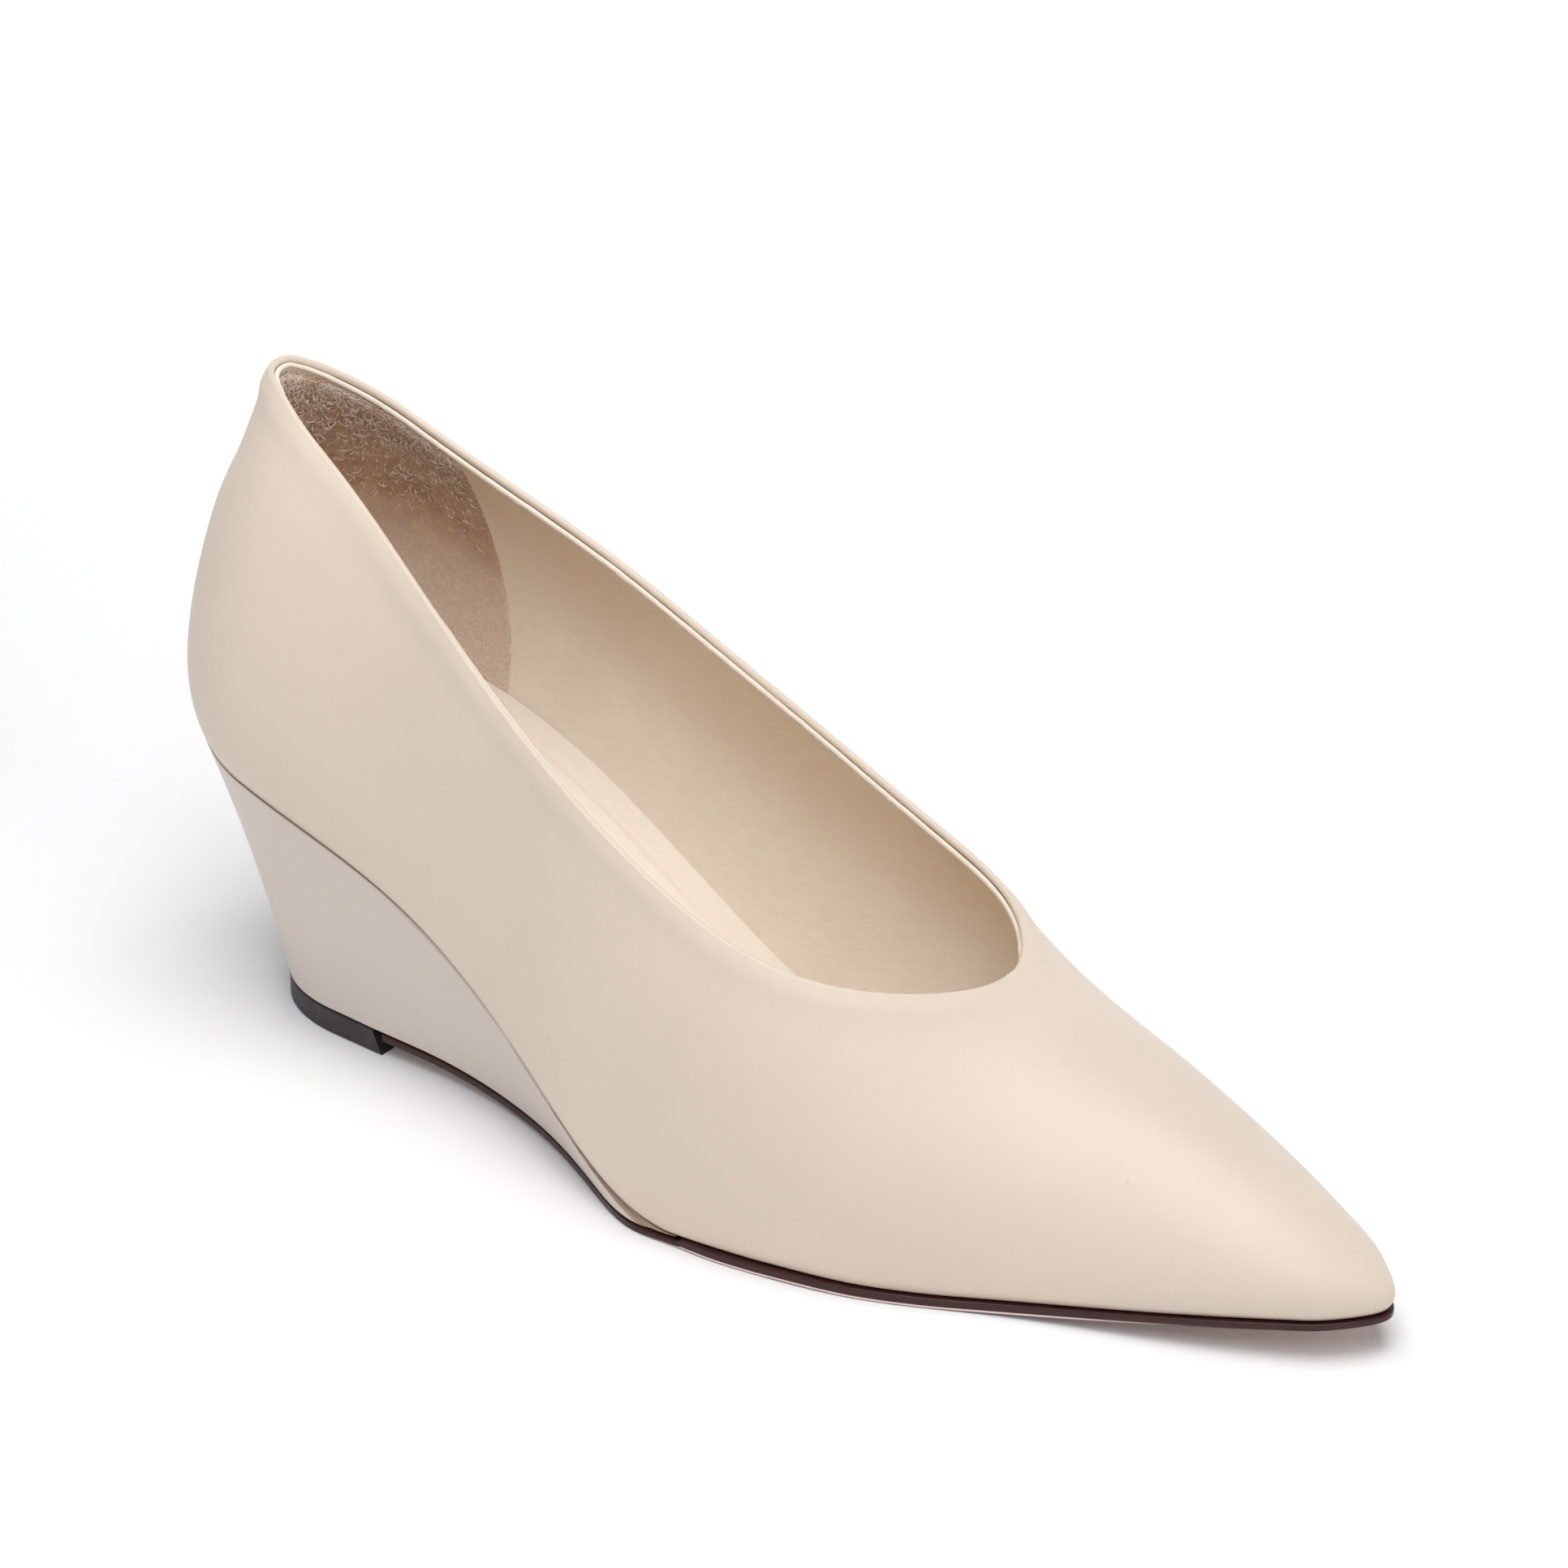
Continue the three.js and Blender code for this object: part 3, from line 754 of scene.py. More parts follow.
def smooth_leather(name, colour, shade, roughness, grain, specks):
    """Satin finished calf: slow tone changes, a fine tight grain, small pores and a few specks,
    and painted shade where the hide turns into a seam."""
    values = {"Specular IOR Level": 0.42, "Coat Weight": 0.06, "Coat Roughness": 0.34}
    made, tree, shader, place = finish_base(name, values)
    cloud = noise(tree, place, 26, 2, 0.45)
    tone = colour_mix(tree, spread(tree, cloud, 0.35, 0.7), rgba(colour, 1.02), rgba(colour, 0.965))
    mottle = noise(tree, place, 420, 3, 0.6)
    tone = colour_mix(tree, spread(tree, mottle, 0.3, 0.75, 0, 0.5), tone, rgba(colour, 0.955))
    # Painted shade: the seam mark darkens the hide where it turns under and in recesses.
    tone = colour_mix(tree, mark(tree, "seam"), tone, rgba(shade))
    dots = cells(tree, place, 95)
    dot = spread(tree, dots, 0.012, 0.022, specks, 0)
    tone = colour_mix(tree, dot, tone, rgba(shade, 0.5))
    wear = noise(tree, place, 60, 3, 0.55)
    rough = spread(tree, wear, 0.3, 0.7, roughness - 0.03, roughness + 0.05)
    pebble = cells(tree, place, 1500, "SMOOTH_F1")
    pores = spread(tree, cells(tree, place, 700), 0.0, 0.16)
    broad = noise(tree, place, 150, 2, 0.5)
    first = raised(tree, broad, 0.35 * grain, 0.25 * MM)
    second = raised(tree, pebble, grain, 0.05 * MM, first)
    third = raised(tree, pores, 0.5 * grain, 0.04 * MM, second)
    feed(tree, shader, {"Base Color": tone, "Roughness": rough, "Normal": third})
    return made


def lining_leather(name, colour, shade, collar_shade, roughness):
    """Unglazed lining skin: matt, with fine close creasing, a soft change of tone, painted shade in
    the creases and below the collar, and painted shade in the gap at its seam."""
    values = {"Specular IOR Level": 0.3, "Sheen Weight": 0.08, "Sheen Roughness": 0.5}
    made, tree, shader, place = finish_base(name, values)
    cloud = noise(tree, place, 34, 3, 0.5)
    tone = colour_mix(tree, spread(tree, cloud, 0.3, 0.72), rgba(colour), rgba(colour, 0.93))
    # Painted shade: the lining darkens towards the collar's edge, where the collar shades it.
    collar_shading = maths(tree, "MULTIPLY", mark(tree, "collar_shade"), spread(tree, cloud, 0.2, 0.8, 0.85, 1))
    tone = colour_mix(tree, collar_shading, tone, rgba(collar_shade))
    # Painted shade: the creases darken the colour in their hollows as well as raising the surface.
    crease = noise(tree, stretched(tree, place, (1.0, 2.4, 3.2)), 320, 5, 0.62)
    tone = colour_mix(tree, spread(tree, crease, 0.42, 0.72, 0, 0.4), tone, rgba(shade))
    # Painted shade: the seam mark darkens the gap against the leather and the sock's pad edge.
    tone = colour_mix(tree, mark(tree, "seam"), tone, rgba(shade, 0.8))
    rough = spread(tree, cloud, 0.3, 0.7, roughness - 0.04, roughness + 0.06)
    pebble = cells(tree, place, 1300, "SMOOTH_F1")
    first = raised(tree, crease, 0.3, 0.08 * MM)
    second = raised(tree, pebble, 0.3, 0.05 * MM, first)
    feed(tree, shader, {"Base Color": tone, "Roughness": rough, "Normal": second})
    return made


def suede(name, colour, light, dark):
    """Brushed suede: the nap lies in curved strokes, its pale flecks crowding towards the collar.
    Painted light makes the lower wall paler and painted shade darkens it towards the collar.
    """
    values = {"Specular IOR Level": 0.15, "Sheen Weight": 0.35, "Sheen Roughness": 0.45}
    made, tree, shader, place = finish_base(name, {**values, "Roughness": 0.95})
    patches = noise(tree, place, 130, 4, 0.6, 0.8)
    strokes = noise(tree, place, 620, 5, 0.65, 1.6)
    high = mark(tree, "rim")
    tone = colour_mix(tree, spread(tree, patches, 0.34, 0.68), rgba(dark), rgba(colour))
    # Painted light: the lower wall of the grip is mixed towards the pale nap colour.
    pale = colour_mix(tree, 0.85, rgba(colour), rgba(light))
    tone = colour_mix(tree, spread(tree, high, 0.0, 0.5, 0.9, 0.0), tone, pale)
    # Painted shade: the suede darkens towards the collar.
    tone = colour_mix(tree, spread(tree, high, 0.5, 1.0, 0.0, 0.65), tone, rgba(dark, 0.75))
    fleck = maths(tree, "ADD", strokes, maths(tree, "MULTIPLY", high, 0.07))
    fleck = spread(tree, fleck, 0.53, 0.7, 0, 0.55)
    fleck = maths(tree, "MULTIPLY", fleck, spread(tree, high, 0.1, 0.8, 0.15, 1))
    tone = colour_mix(tree, fleck, tone, rgba(light))
    tufts = spread(tree, strokes, 0.36, 0.58, 0.2, 0.85)
    fringe = maths(tree, "MULTIPLY", mark(tree, "fringe"), tufts)
    tone = colour_mix(tree, fringe, tone, rgba(light))
    fine = noise(tree, place, 1900, 3, 0.6)
    tone = colour_mix(tree, spread(tree, fine, 0.35, 0.7, 0, 0.35), tone, rgba(dark, 0.8))
    first = raised(tree, strokes, 0.9, 0.5 * MM)
    second = raised(tree, fine, 0.6, 0.15 * MM, first)
    feed(tree, shader, {"Base Color": tone, "Normal": second})
    return made


def fibre(name, light, dark):
    """Brushed up fibres: each takes its own tone, and they shine a little along their curve."""
    values = {"Specular IOR Level": 0.35, "Sheen Weight": 0.3, "Sheen Roughness": 0.4}
    made, tree, shader, place = finish_base(name, {**values, "Roughness": 0.6})
    pale = spread(tree, noise(tree, place, 480, 2, 0.5), 0.3, 0.55)
    tone = colour_mix(tree, pale, rgba(dark), rgba(light, 1.04))
    fine = noise(tree, place, 2600, 2, 0.5)
    feed(tree, shader, {"Base Color": tone, "Normal": raised(tree, fine, 0.3, 0.05 * MM)})
    return made


def sole_finish(name, edge, pale, under):
    """Painted and burnished sole edge with a pale bevel line of bare leather brightened as a
    painted highlight, over a plain sanded underside.
    """
    made, tree, shader, place = finish_base(name, {"Specular IOR Level": 0.36})
    cloud = noise(tree, place, 210, 4, 0.6)
    paint = colour_mix(tree, spread(tree, cloud, 0.35, 0.7), rgba(edge), rgba(edge, 0.72))
    chip = spread(tree, cells(tree, place, 60), 0.016, 0.026, 0.85, 0)
    paint = colour_mix(tree, chip, paint, rgba(pale))
    grain = noise(tree, place, 900, 5, 0.65)
    plain = colour_mix(tree, spread(tree, grain, 0.35, 0.7), rgba(under), rgba(under, 0.82))
    scuff = spread(tree, noise(tree, place, 75, 5, 0.7, 0.6), 0.56, 0.7, 0, 0.35)
    plain = colour_mix(tree, scuff, plain, rgba(under, 0.62))
    down = mark(tree, "underside")
    tone = colour_mix(tree, down, paint, plain)
    # Painted highlight: the bevel mark lays a pale line along the forefoot's lower edge.
    tone = colour_mix(tree, mark(tree, "bevel"), tone, rgba(pale))
    rough = spread(tree, cloud, 0.3, 0.7, 0.24, 0.36)
    rough = maths(tree, "ADD", rough, maths(tree, "MULTIPLY", down, 0.35))
    normal = raised(tree, grain, 0.35, 0.08 * MM)
    feed(tree, shader, {"Base Color": tone, "Roughness": rough, "Normal": normal})
    return made


def lift_rubber(name, colour):
    """Dense top lift rubber: nearly black, with a fine dull grain and faint grinding lines."""
    made, tree, shader, place = finish_base(name, {"Specular IOR Level": 0.4})
    cloud = noise(tree, place, 160, 4, 0.6)
    tone = colour_mix(tree, spread(tree, cloud, 0.35, 0.7), rgba(colour), rgba(colour, 0.7))
    dust = spread(tree, noise(tree, place, 2200, 2, 0.5), 0.66, 0.72, 0, 0.35)
    tone = colour_mix(tree, dust, tone, rgba(colour, 2.4))
    lines = noise(tree, stretched(tree, place, (1.0, 1.0, 9.0)), 500, 3, 0.6)
    rough = spread(tree, cloud, 0.3, 0.7, 0.5, 0.62)
    normal = raised(tree, lines, 0.3, 0.06 * MM)
    feed(tree, shader, {"Base Color": tone, "Roughness": rough, "Normal": normal})
    return made


# Settings


def length_setting(name, description, default, top=0.5):
    """A length in metres that a user may change."""
    return FloatProperty(
        name=name,
        description=description,
        default=default,
        min=0.0,
        max=top,
        subtype="DISTANCE",
        unit="LENGTH",
        precision=4,
    )


def colour_setting(name, description, default):
    """A colour that a user may change."""
    return FloatVectorProperty(
        name=name,
        description=description,
        default=default,
        subtype="COLOR",
        size=3,
        min=0.0,
        max=1.0,
    )


def angle_setting(name, description, degrees):
    """An angle that a user may change, given here in degrees."""
    return FloatProperty(
        name=name, description=description, default=math.radians(degrees), subtype="ANGLE"
    )


def strength_setting(name, description, default, subtype="NONE"):
    """A power, a strength or a focal length that a user may change."""
    return FloatProperty(name=name, description=description, default=default, subtype=subtype)


class WedgePumpSizes(bpy.types.PropertyGroup):
    """Sizes of the shoe and of its leathers."""

    shoe_length: length_setting("Shoe length", "Length of the seam line from heel to toe", 0.25)
    ball_width: length_setting("Ball width", "Width across the ball of the foot", 0.077)
    heel_seat_height: length_setting("Heel seat height", "Height of the heel seat's seam", 0.06)
    instep_height: length_setting("Instep height", "Height the crest line is a share of", 0.105)
    collar_height: length_setting("Collar height", "Height of the collar at the heel", 0.1245)
    heel_cap_radius: length_setting("Heel cap", "Length of the rounded heel", 0.027)
    toe_cap_radius: length_setting("Toe cap", "Length of the rounded toe tip", 0.0098)
    heel_lean_reach: length_setting("Heel lean", "How far the heel's ribs lean ahead", 0.0245)
    heel_lean_span: length_setting("Heel lean span", "Length where the heel's ribs lean", 0.081)
    toe_lean_reach: length_setting("Toe lean", "How far the toe's ribs lean back", 0.0118)
    toe_lean_span: length_setting("Toe lean span", "Length over which the toe's ribs lean", 0.046)
    pinch_depth: length_setting("Collar pinch", "How far the collar's back is drawn in", 0.0018)
    pinch_drop: length_setting("Pinch drop", "How far the pinch lies below the collar", 0.0155)
    pinch_below: length_setting("Pinch below", "How far the pinch spreads down", 0.008)
    pinch_above: length_setting("Pinch above", "How far the pinch spreads up", 0.016)
    leather_thickness: length_setting("Folded leather", "Leather's thickness at its fold", 0.0013)
    lining_thickness: length_setting("Lining", "Thickness of the lining", 0.00072)
    lining_gap: length_setting("Lining gap", "Dark gap between leather and lining", 0.0001)
    feather_round: length_setting("Feather edge", "Radius of the leather's lower edge", 0.0008)
    grip_thickness: length_setting("Heel grip", "Thickness of the suede heel grip", 0.0005)
    insole_thickness: length_setting("Insole", "Thickness of the insole with its sock", 0.0026)
    pad_rise: length_setting("Sock pad", "Height of the pad under the sock", 0.0005)
    pad_margin: length_setting("Sock margin", "Width of the sock outside its pad", 0.0062)
    glue_gap: length_setting("Glue line", "Gap between sole and upper", 0.0003)
    sole_thickness: length_setting("Sole", "Thickness of the sole under the ball", 0.002)
    waist_sole_thickness: length_setting("Waist sole", "Thickness of the sole at the waist", 0.0015)
    toe_sole_thickness: length_setting("Toe sole", "Thickness of the sole at the toe", 0.0013)
    sole_margin: length_setting("Sole margin", "How far the sole stands past the upper", 0.0009)
    lift_height: length_setting("Lift height", "Thickness of the top lift", 0.0047)
    lift_setback: length_setting("Lift setback", "How far the lift stands in behind", 0.0178)
    lift_cap: length_setting("Lift cap", "Length of the rounded back of the lift", 0.021)
    lift_front: length_setting("Lift front", "Place of the lift's front edge", 0.0495)
    lift_slant: length_setting("Lift slant", "How far the lift's front runs forwards", 0.002)
    wedge_front: length_setting("Wedge front", "Place where the wedge runs out", 0.134)
    wedge_front_edge: length_setting("Wedge front edge", "Wedge's thickness where it ends", 0.0004)
    wedge_recess: length_setting("Wedge recess", "Depth of the recess under the upper", 0.0007)
    recess_height: length_setting("Recess height", "Height of the recess towards the front", 0.00105)
    wedge_hollow: length_setting("Wedge hollow", "Depth of the hollow in the wedge's sides", 0.0009)


class WedgePumpColours(bpy.types.PropertyGroup):
    """Colours of the leathers, the sole and the lift."""

    skin: colour_setting("Upper", "Nude leather of the upper", (0.785, 0.665, 0.55))
    # Painted shade: the upper's leather made darker and cooler for the wedge, which lies in shade.
    cover: colour_setting("Wedge cover", "The same leather on the wedge", (0.72, 0.63, 0.56))
    # Painted shade where leathers turn under at seams and in the wedge's recess.
    seam: colour_setting("Seam", "Tan of the turned and glued edges", (0.36, 0.24, 0.16))
    lining: colour_setting("Lining", "Cream lining leather", (0.96, 0.87, 0.755))
    # Painted shade in the lining's creases and in the gap at its seam.
    lining_shade: colour_setting("Lining shade", "Creases of the lining", (0.82, 0.7, 0.56))
    # Painted shade on the lining below the collar's edge.
    lining_collar_shade: colour_setting(
        "Lining handled", "Lining below the collar, painted shade", (0.77, 0.59, 0.41)
    )
    sock: colour_setting("Sock", "Pale peach sock leather", (0.92, 0.84, 0.74))
    grip: colour_setting("Heel grip", "Brown beige suede", (0.77, 0.49, 0.31))
    # The nap colour also paints light on the grip's lower wall.
    grip_nap_and_painted_light: colour_setting("Nap", "Brushed up nap of the suede", (0.95, 0.83, 0.72))
    # The suede shade also paints shade on the grip towards the collar.
    grip_dark_nap_and_shade: colour_setting("Suede shade", "Flattened nap of the suede", (0.5, 0.295, 0.175))
    sole_edge: colour_setting("Sole edge", "Painted burgundy edge", (0.048, 0.0125, 0.013))
    # Pale bevel line: bare leather brightened as a painted highlight.
    sole_bevel_highlight: colour_setting("Sole bevel", "Pale line of the bevel", (0.9, 0.68, 0.63))
    sole_under: colour_setting("Sole underside", "Plain leather underneath", (0.5, 0.31, 0.24))
    lift: colour_setting("Lift", "Near black rubber", (0.055, 0.044, 0.046))


class WedgePumpStage(bpy.types.PropertyGroup):
    """Camera and light."""

    azimuth: angle_setting("Azimuth", "Camera's turn from the side view towards the toe", 35.102)
    elevation: angle_setting("Elevation", "Camera's height above the floor as an angle", 28.584)
    yaw: angle_setting("Yaw", "Aim to the side of the target", 0.056)
    pitch: angle_setting("Pitch", "Aim above the target", -1.294)
    roll: angle_setting("Roll", "Turn about the view", -0.367)
    distance: length_setting("Distance", "Camera to target", 0.9563, 5.0)
    target_height: length_setting("Target height", "Height of the point aimed at", 0.045)
    lens: strength_setting("Lens", "Focal length", 124.82, "DISTANCE_CAMERA")
    key_power: strength_setting("Key light", "Power of the key light", 12.2, "POWER")
    fill_power: strength_setting("Fill light", "Power of the fill", 5.0, "POWER")
    sky: strength_setting("Sky", "Strength of the surrounding light", 0.16)


# Pieces


def pump():
    """The shoe's sizes and colours."""
    return bpy.context.scene.wedge_pump_sizes, bpy.context.scene.wedge_pump_colours


def upper_grid(sizes, steps=(28, 96, 56, 26), rows=56):
    """Fine grid of the upper, drawn back by the radius of its folded edge."""
    last = Last(sizes)
    grid = collar_grid(last, steps, rows, sizes.feather_round, sizes.leather_thickness / 2)
    return last, grid


class WEDGE_PUMP_OT_upper(bpy.types.Operator):
    """Build the leather upper with its folded collar edge"""

    bl_idname = "wedge_pump.upper"
    bl_label = "Upper"

    def execute(self, context):
        sizes, colours = pump()
        last, grid = upper_grid(sizes)
        away = distance_to(grid.points, grid.edge).ravel()
        roll_at, roll_width = 2.3 * MM, 2.1 * MM
        dent_at, dent_width = 7.5 * MM, 2.4 * MM
        heel_run = 26 * MM
        back = 1 - smooth(grid.flat[:, 0] / heel_run)
        roll = (0.34 + 0.28 * back) * bell(away, roll_at, roll_width)
        dent = 0.06 * bell(away, dent_at, dent_width)
        diagonal = grid.flat[:, 0] + grid.flat[:, 1]
        uneven = 1 + 0.2 * wobble(diagonal, (31 * MM, 17 * MM, 8.3 * MM), (0.4, 2, 1))
        puff = (roll - dent) * uneven * MM
        points, faces = shell(grid, 0, -puff, sizes.leather_thickness)
        rim = distance_to(points[:, None], grid.edge)[:, 0]
        height = points[:, 2] - last.seat_height(points[:, 0])
        low = 1 - smooth(height / (0.7 * MM))
        inside = np.zeros(len(points))
        inside[len(grid.flat) : 2 * len(grid.flat)] = 1
        inner_edge = inside * smooth((rim - 0.3 * MM) / (0.6 * MM))
        # Painted shade: darker at the leather's turned under foot and on its inner face in the lining
        # gap.
        seam = np.clip(0.9 * low + 0.25 * inner_edge, 0, 1)
        tones = (colours.skin, colours.seam)
        finish = smooth_leather("nude_calf", *tones, roughness=0.46, grain=0.3, specks=0.45)
        piece = make_piece("upper_leather", points, faces, finish, {"seam": seam})
        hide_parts("upper")
        return {"FINISHED"}


class WEDGE_PUMP_OT_lining(bpy.types.Operator):
    """Build the lining with its rolled edge inside the collar"""

    bl_idname = "wedge_pump.lining"
    bl_label = "Lining"

    def execute(self, context):
        sizes, colours = pump()
        _, grid = upper_grid(sizes)
        near = sizes.leather_thickness + sizes.lining_gap
        away = distance_to(grid.points, grid.edge).ravel()
        bead_rise, bead_width = 0.26 * MM, 0.9 * MM
        channel_depth, channel_at, channel_width = 0.16 * MM, 1.75 * MM, 0.3 * MM
        bead = bead_rise * bell(away, 0, bead_width)
        channel = channel_depth * bell(away, channel_at, channel_width)
        far = near + sizes.lining_thickness + bead - channel
        edge = grid.edge
        step = np.linalg.norm(np.roll(edge, -1, 0) - edge, axis=1)
        along = np.cumsum(step)
        throat = along[np.argmax(edge[:, 0])]
        pleat_width, lowered = 1.05 * MM, 0.45 * MM
        window = bell(along - throat, 9 * MM, 7 * MM)
        pleats = 0.5 * window * np.sin(2 * math.pi * along / pleat_width)
        uneven = 0.12 * wobble(along, (23 * MM, 9.1 * MM, 4.3 * MM), (0.3, 1.1, 2.4))
        points, faces = shell(grid, grid.first_row, near, far, lowered, pleats + uneven)
        # Painted shade: the lining's face against the leather is darkened, as it shows only in the
        # gap.
        seam = np.zeros(len(points))
        seam[: len(grid.flat)] = 0.4
        rim = distance_to(points[:, None], grid.edge)[:, 0]
        # The mark set here darkens the lining with painted shade below the collar's edge, over 30 mm.
        bead_end, collar_shade_reach = 1.6 * MM, 30 * MM
        below_bead = smooth((rim - bead_end) / bead_end)
        collar_shade = (1 - smooth((rim - 3 * MM) / collar_shade_reach)) * below_bead
        tones = (colours.lining, colours.lining_shade, colours.lining_collar_shade)
        finish = lining_leather("cream_lining", *tones, roughness=0.55)
        marks = {"seam": seam, "collar_shade": collar_shade}
        make_piece("lining", points, faces, finish, marks)
        return {"FINISHED"}


def grip_nap(top, normal):
    """Fibres strewn over the grip's face: even round the heel, and crowded towards its upper edge
    by a power law. Each points down the wall, turned aside by a bell shaped chance."""
    rows, columns = GRIP_COUNT
    chance = np.random.default_rng(41)
    row = 1 + (rows - 5) * (0.5 + 0.5 * chance.uniform(-1, 1, NAP_COUNT))
    column = columns - 1.3 - NAP_SPAN * chance.random(NAP_COUNT) ** NAP_CROWDING
    i, j = row.astype(int), column.astype(int)
    share_i, share_j = (row - i)[:, None], (column - j)[:, None]
    near = top[i, j] * (1 - share_j) + top[i, j + 1] * share_j
    far = top[i + 1, j] * (1 - share_j) + top[i + 1, j + 1] * share_j
    inwards = -normal[i, j]
    rooted = 0.04 * MM
    places = near * (1 - share_i) + far * share_i - inwards * rooted
    rising = top[i, j + 1] - top[i, j]
    rising = unit(rising - inwards * (rising * inwards).sum(1, keepdims=True))
    turns = math.pi + NAP_TURN * chance.standard_normal(NAP_COUNT)
    bends = chance.choice([-1, 1], NAP_COUNT) * chance.uniform(*NAP_BENDS, NAP_COUNT)
    lengths = chance.uniform(*NAP_LENGTHS, NAP_COUNT) * MM
    widths = chance.uniform(*NAP_WIDTHS, NAP_COUNT) * MM
    return curls(places, inwards, rising, lengths, widths, turns, bends)


class WEDGE_PUMP_OT_heel_grip(bpy.types.Operator):
    """Build the suede heel grip inside the back of the collar"""

    bl_idname = "wedge_pump.heel_grip"
    bl_label = "Heel grip"

    def execute(self, context):
        sizes, colours = pump()
        last, _ = upper_grid(sizes)
        across = np.linspace(-1, 1, GRIP_COUNT[0])
        up = np.linspace(0, 1, GRIP_COUNT[1])
        front = natural_curve(GRIP_COLUMNS, GRIP_ROWS, "front")
        reach = last.share_at(front(up) * sizes.shoe_length)
        signed = across[:, None] * reach[None]
        rim_signed = signed[:, -1]
        ribs = last.ribs(rim_signed)
        end = np.where(
            rim_signed <= 0,
            last.top_share(ribs, rim_signed, "outer"),
            last.top_share(ribs, rim_signed, "inner"),
        )
        order = np.argsort(rim_signed)
        edge_share = np.interp(signed, rim_signed[order], end[order])
        foot = last.ribs(signed.ravel())
        climb = (foot[:, 1, 2] - foot[:, 0, 2]).reshape(signed.shape)
        low_gap, rim_gap, wall_height = 1.6 * MM, 0.95 * MM, 55 * MM
        low = low_gap / (3 * climb)
        high = edge_share - rim_gap / (1.9 * climb + 20 * MM)
        t = low + (high - low) * up[None]
        base = last.surface(signed, t)
        normal = last.outward(signed, t)
        depth = sizes.leather_thickness + sizes.lining_gap + sizes.lining_thickness
        edge_away = np.minimum(
            (1 - np.abs(across))[:, None] * reach[None] * sizes.shoe_length,
            np.minimum(up, 1 - up)[None] * wall_height,
        )
        bevel = np.sqrt(np.clip(1 - (1 - np.clip(edge_away / (0.5 * MM), 0, 1)) ** 2, 0, 1))
        top = base - normal * (depth - 0.1 * MM + sizes.grip_thickness * bevel)[..., None]
        bottom = base - normal * (depth - 0.15 * MM)
        points, faces = patch(bottom, top)
        risen = np.broadcast_to(up[None], signed.shape).ravel()
        # The rim mark drives the suede's painted light low on the wall and painted shade towards the
        # collar.
        rim = smooth((risen - 0.3) / 0.6)
        fringe = smooth((risen - 0.92) / 0.06)
        finish = suede("brushed_suede", colours.grip, colours.grip_nap_and_painted_light, colours.grip_dark_nap_and_shade)
        marks = {"rim": np.tile(rim, 2), "fringe": np.tile(fringe, 2)}
        make_piece("heel_grip", points, faces[:, ::-1], finish, marks)
        nap, nap_faces = grip_nap(top, normal)
        finish = fibre("nap_fibres", colours.grip_nap_and_painted_light, colours.grip)
        make_piece("heel_grip_nap", nap, nap_faces, finish)
        return {"FINISHED"}


class WEDGE_PUMP_OT_sock(bpy.types.Operator):
    """Build the padded sock over the insole"""

    bl_idname = "wedge_pump.sock"
    bl_label = "Sock"

    def execute(self, context):
        sizes, colours = pump()
        last = Last(sizes)
        share = stations(
            (0, HEEL_CAP_SHARE, 40),
            (HEEL_CAP_SHARE, TOE_CAP_SHARE, 120),
            (TOE_CAP_SHARE, 1, 30),
        )
        wall = 1.75 * MM
        x, outer, inner = last.level(last.seam, share, wall)
        across = np.sin(np.linspace(-math.pi / 2, math.pi / 2, 121))
        half = np.where(across[None] < 0, outer[:, None], inner[:, None])
        y = across[None] * half
        away = (1 - np.abs(across))[None] * half
        pad_slope, turn_rise, turn_width, crease_width = 1.6 * MM, 0.35 * MM, 1.4 * MM, 0.35 * MM
        pad = sizes.pad_rise * smooth((away - sizes.pad_margin) / pad_slope)
        turned = turn_rise * (1 - smooth(away / turn_width))
        z = last.seat_height(x)[:, None] + sizes.insole_thickness + pad + turned
        top = np.stack([np.broadcast_to(x[:, None], y.shape), y, z], -1)
        bottom = top.copy()
        bottom[..., 2] = last.seat_height(x)[:, None] + 0.1 * MM
        points, faces = patch(top, bottom)
        # Painted shade: a thin darker line along the crease at the pad's edge.
        seam = np.zeros(len(points))
        seam[: away.size] = 0.25 * bell(away, sizes.pad_margin, crease_width).ravel()
        tones = (colours.sock, colours.lining, colours.lining)
        finish = lining_leather("peach_sock", *tones, roughness=0.5)
        piece = make_piece("sock", points, faces, finish, {"seam": seam})
        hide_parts("insole")
        return {"FINISHED"}


def waist_outline(last):
    """Outline of the wedge's underside: a quarter circle behind, then the waist's half widths."""
    sizes = last.sizes
    end = last.share_at(sizes.wedge_front)
    cap_end = sizes.lift_setback + sizes.lift_cap

    def outline(share, side):
        turn = np.clip(share / HEEL_CAP_SHARE, 0, 1) * math.pi / 2
        along = np.clip((share - HEEL_CAP_SHARE) / (end - HEEL_CAP_SHARE), 0, 2)
        x = np.where(
            share < HEEL_CAP_SHARE,
            sizes.lift_setback + sizes.lift_cap * (1 - np.cos(turn)),
            cap_end + (sizes.wedge_front - cap_end) * along,
        )
        return x, sizes.ball_width * last.waist[side](x / last.length) * np.sin(turn)

    return outline


def waist_height(last):
    """Height of the wedge's underside: the waist's curve, eased into the wedge's thin front."""
    sizes = last.sizes
    front = last.seat_height(sizes.wedge_front) - sizes.glue_gap - sizes.wedge_front_edge
    start = 0.36 * last.length

    def height(x):
        share = smooth((x - start) / (sizes.wedge_front - start))
        back = sizes.lift_height * last.waist["height"](x / last.length) + sizes.glue_gap
        return back + (front - back) * share

    return height


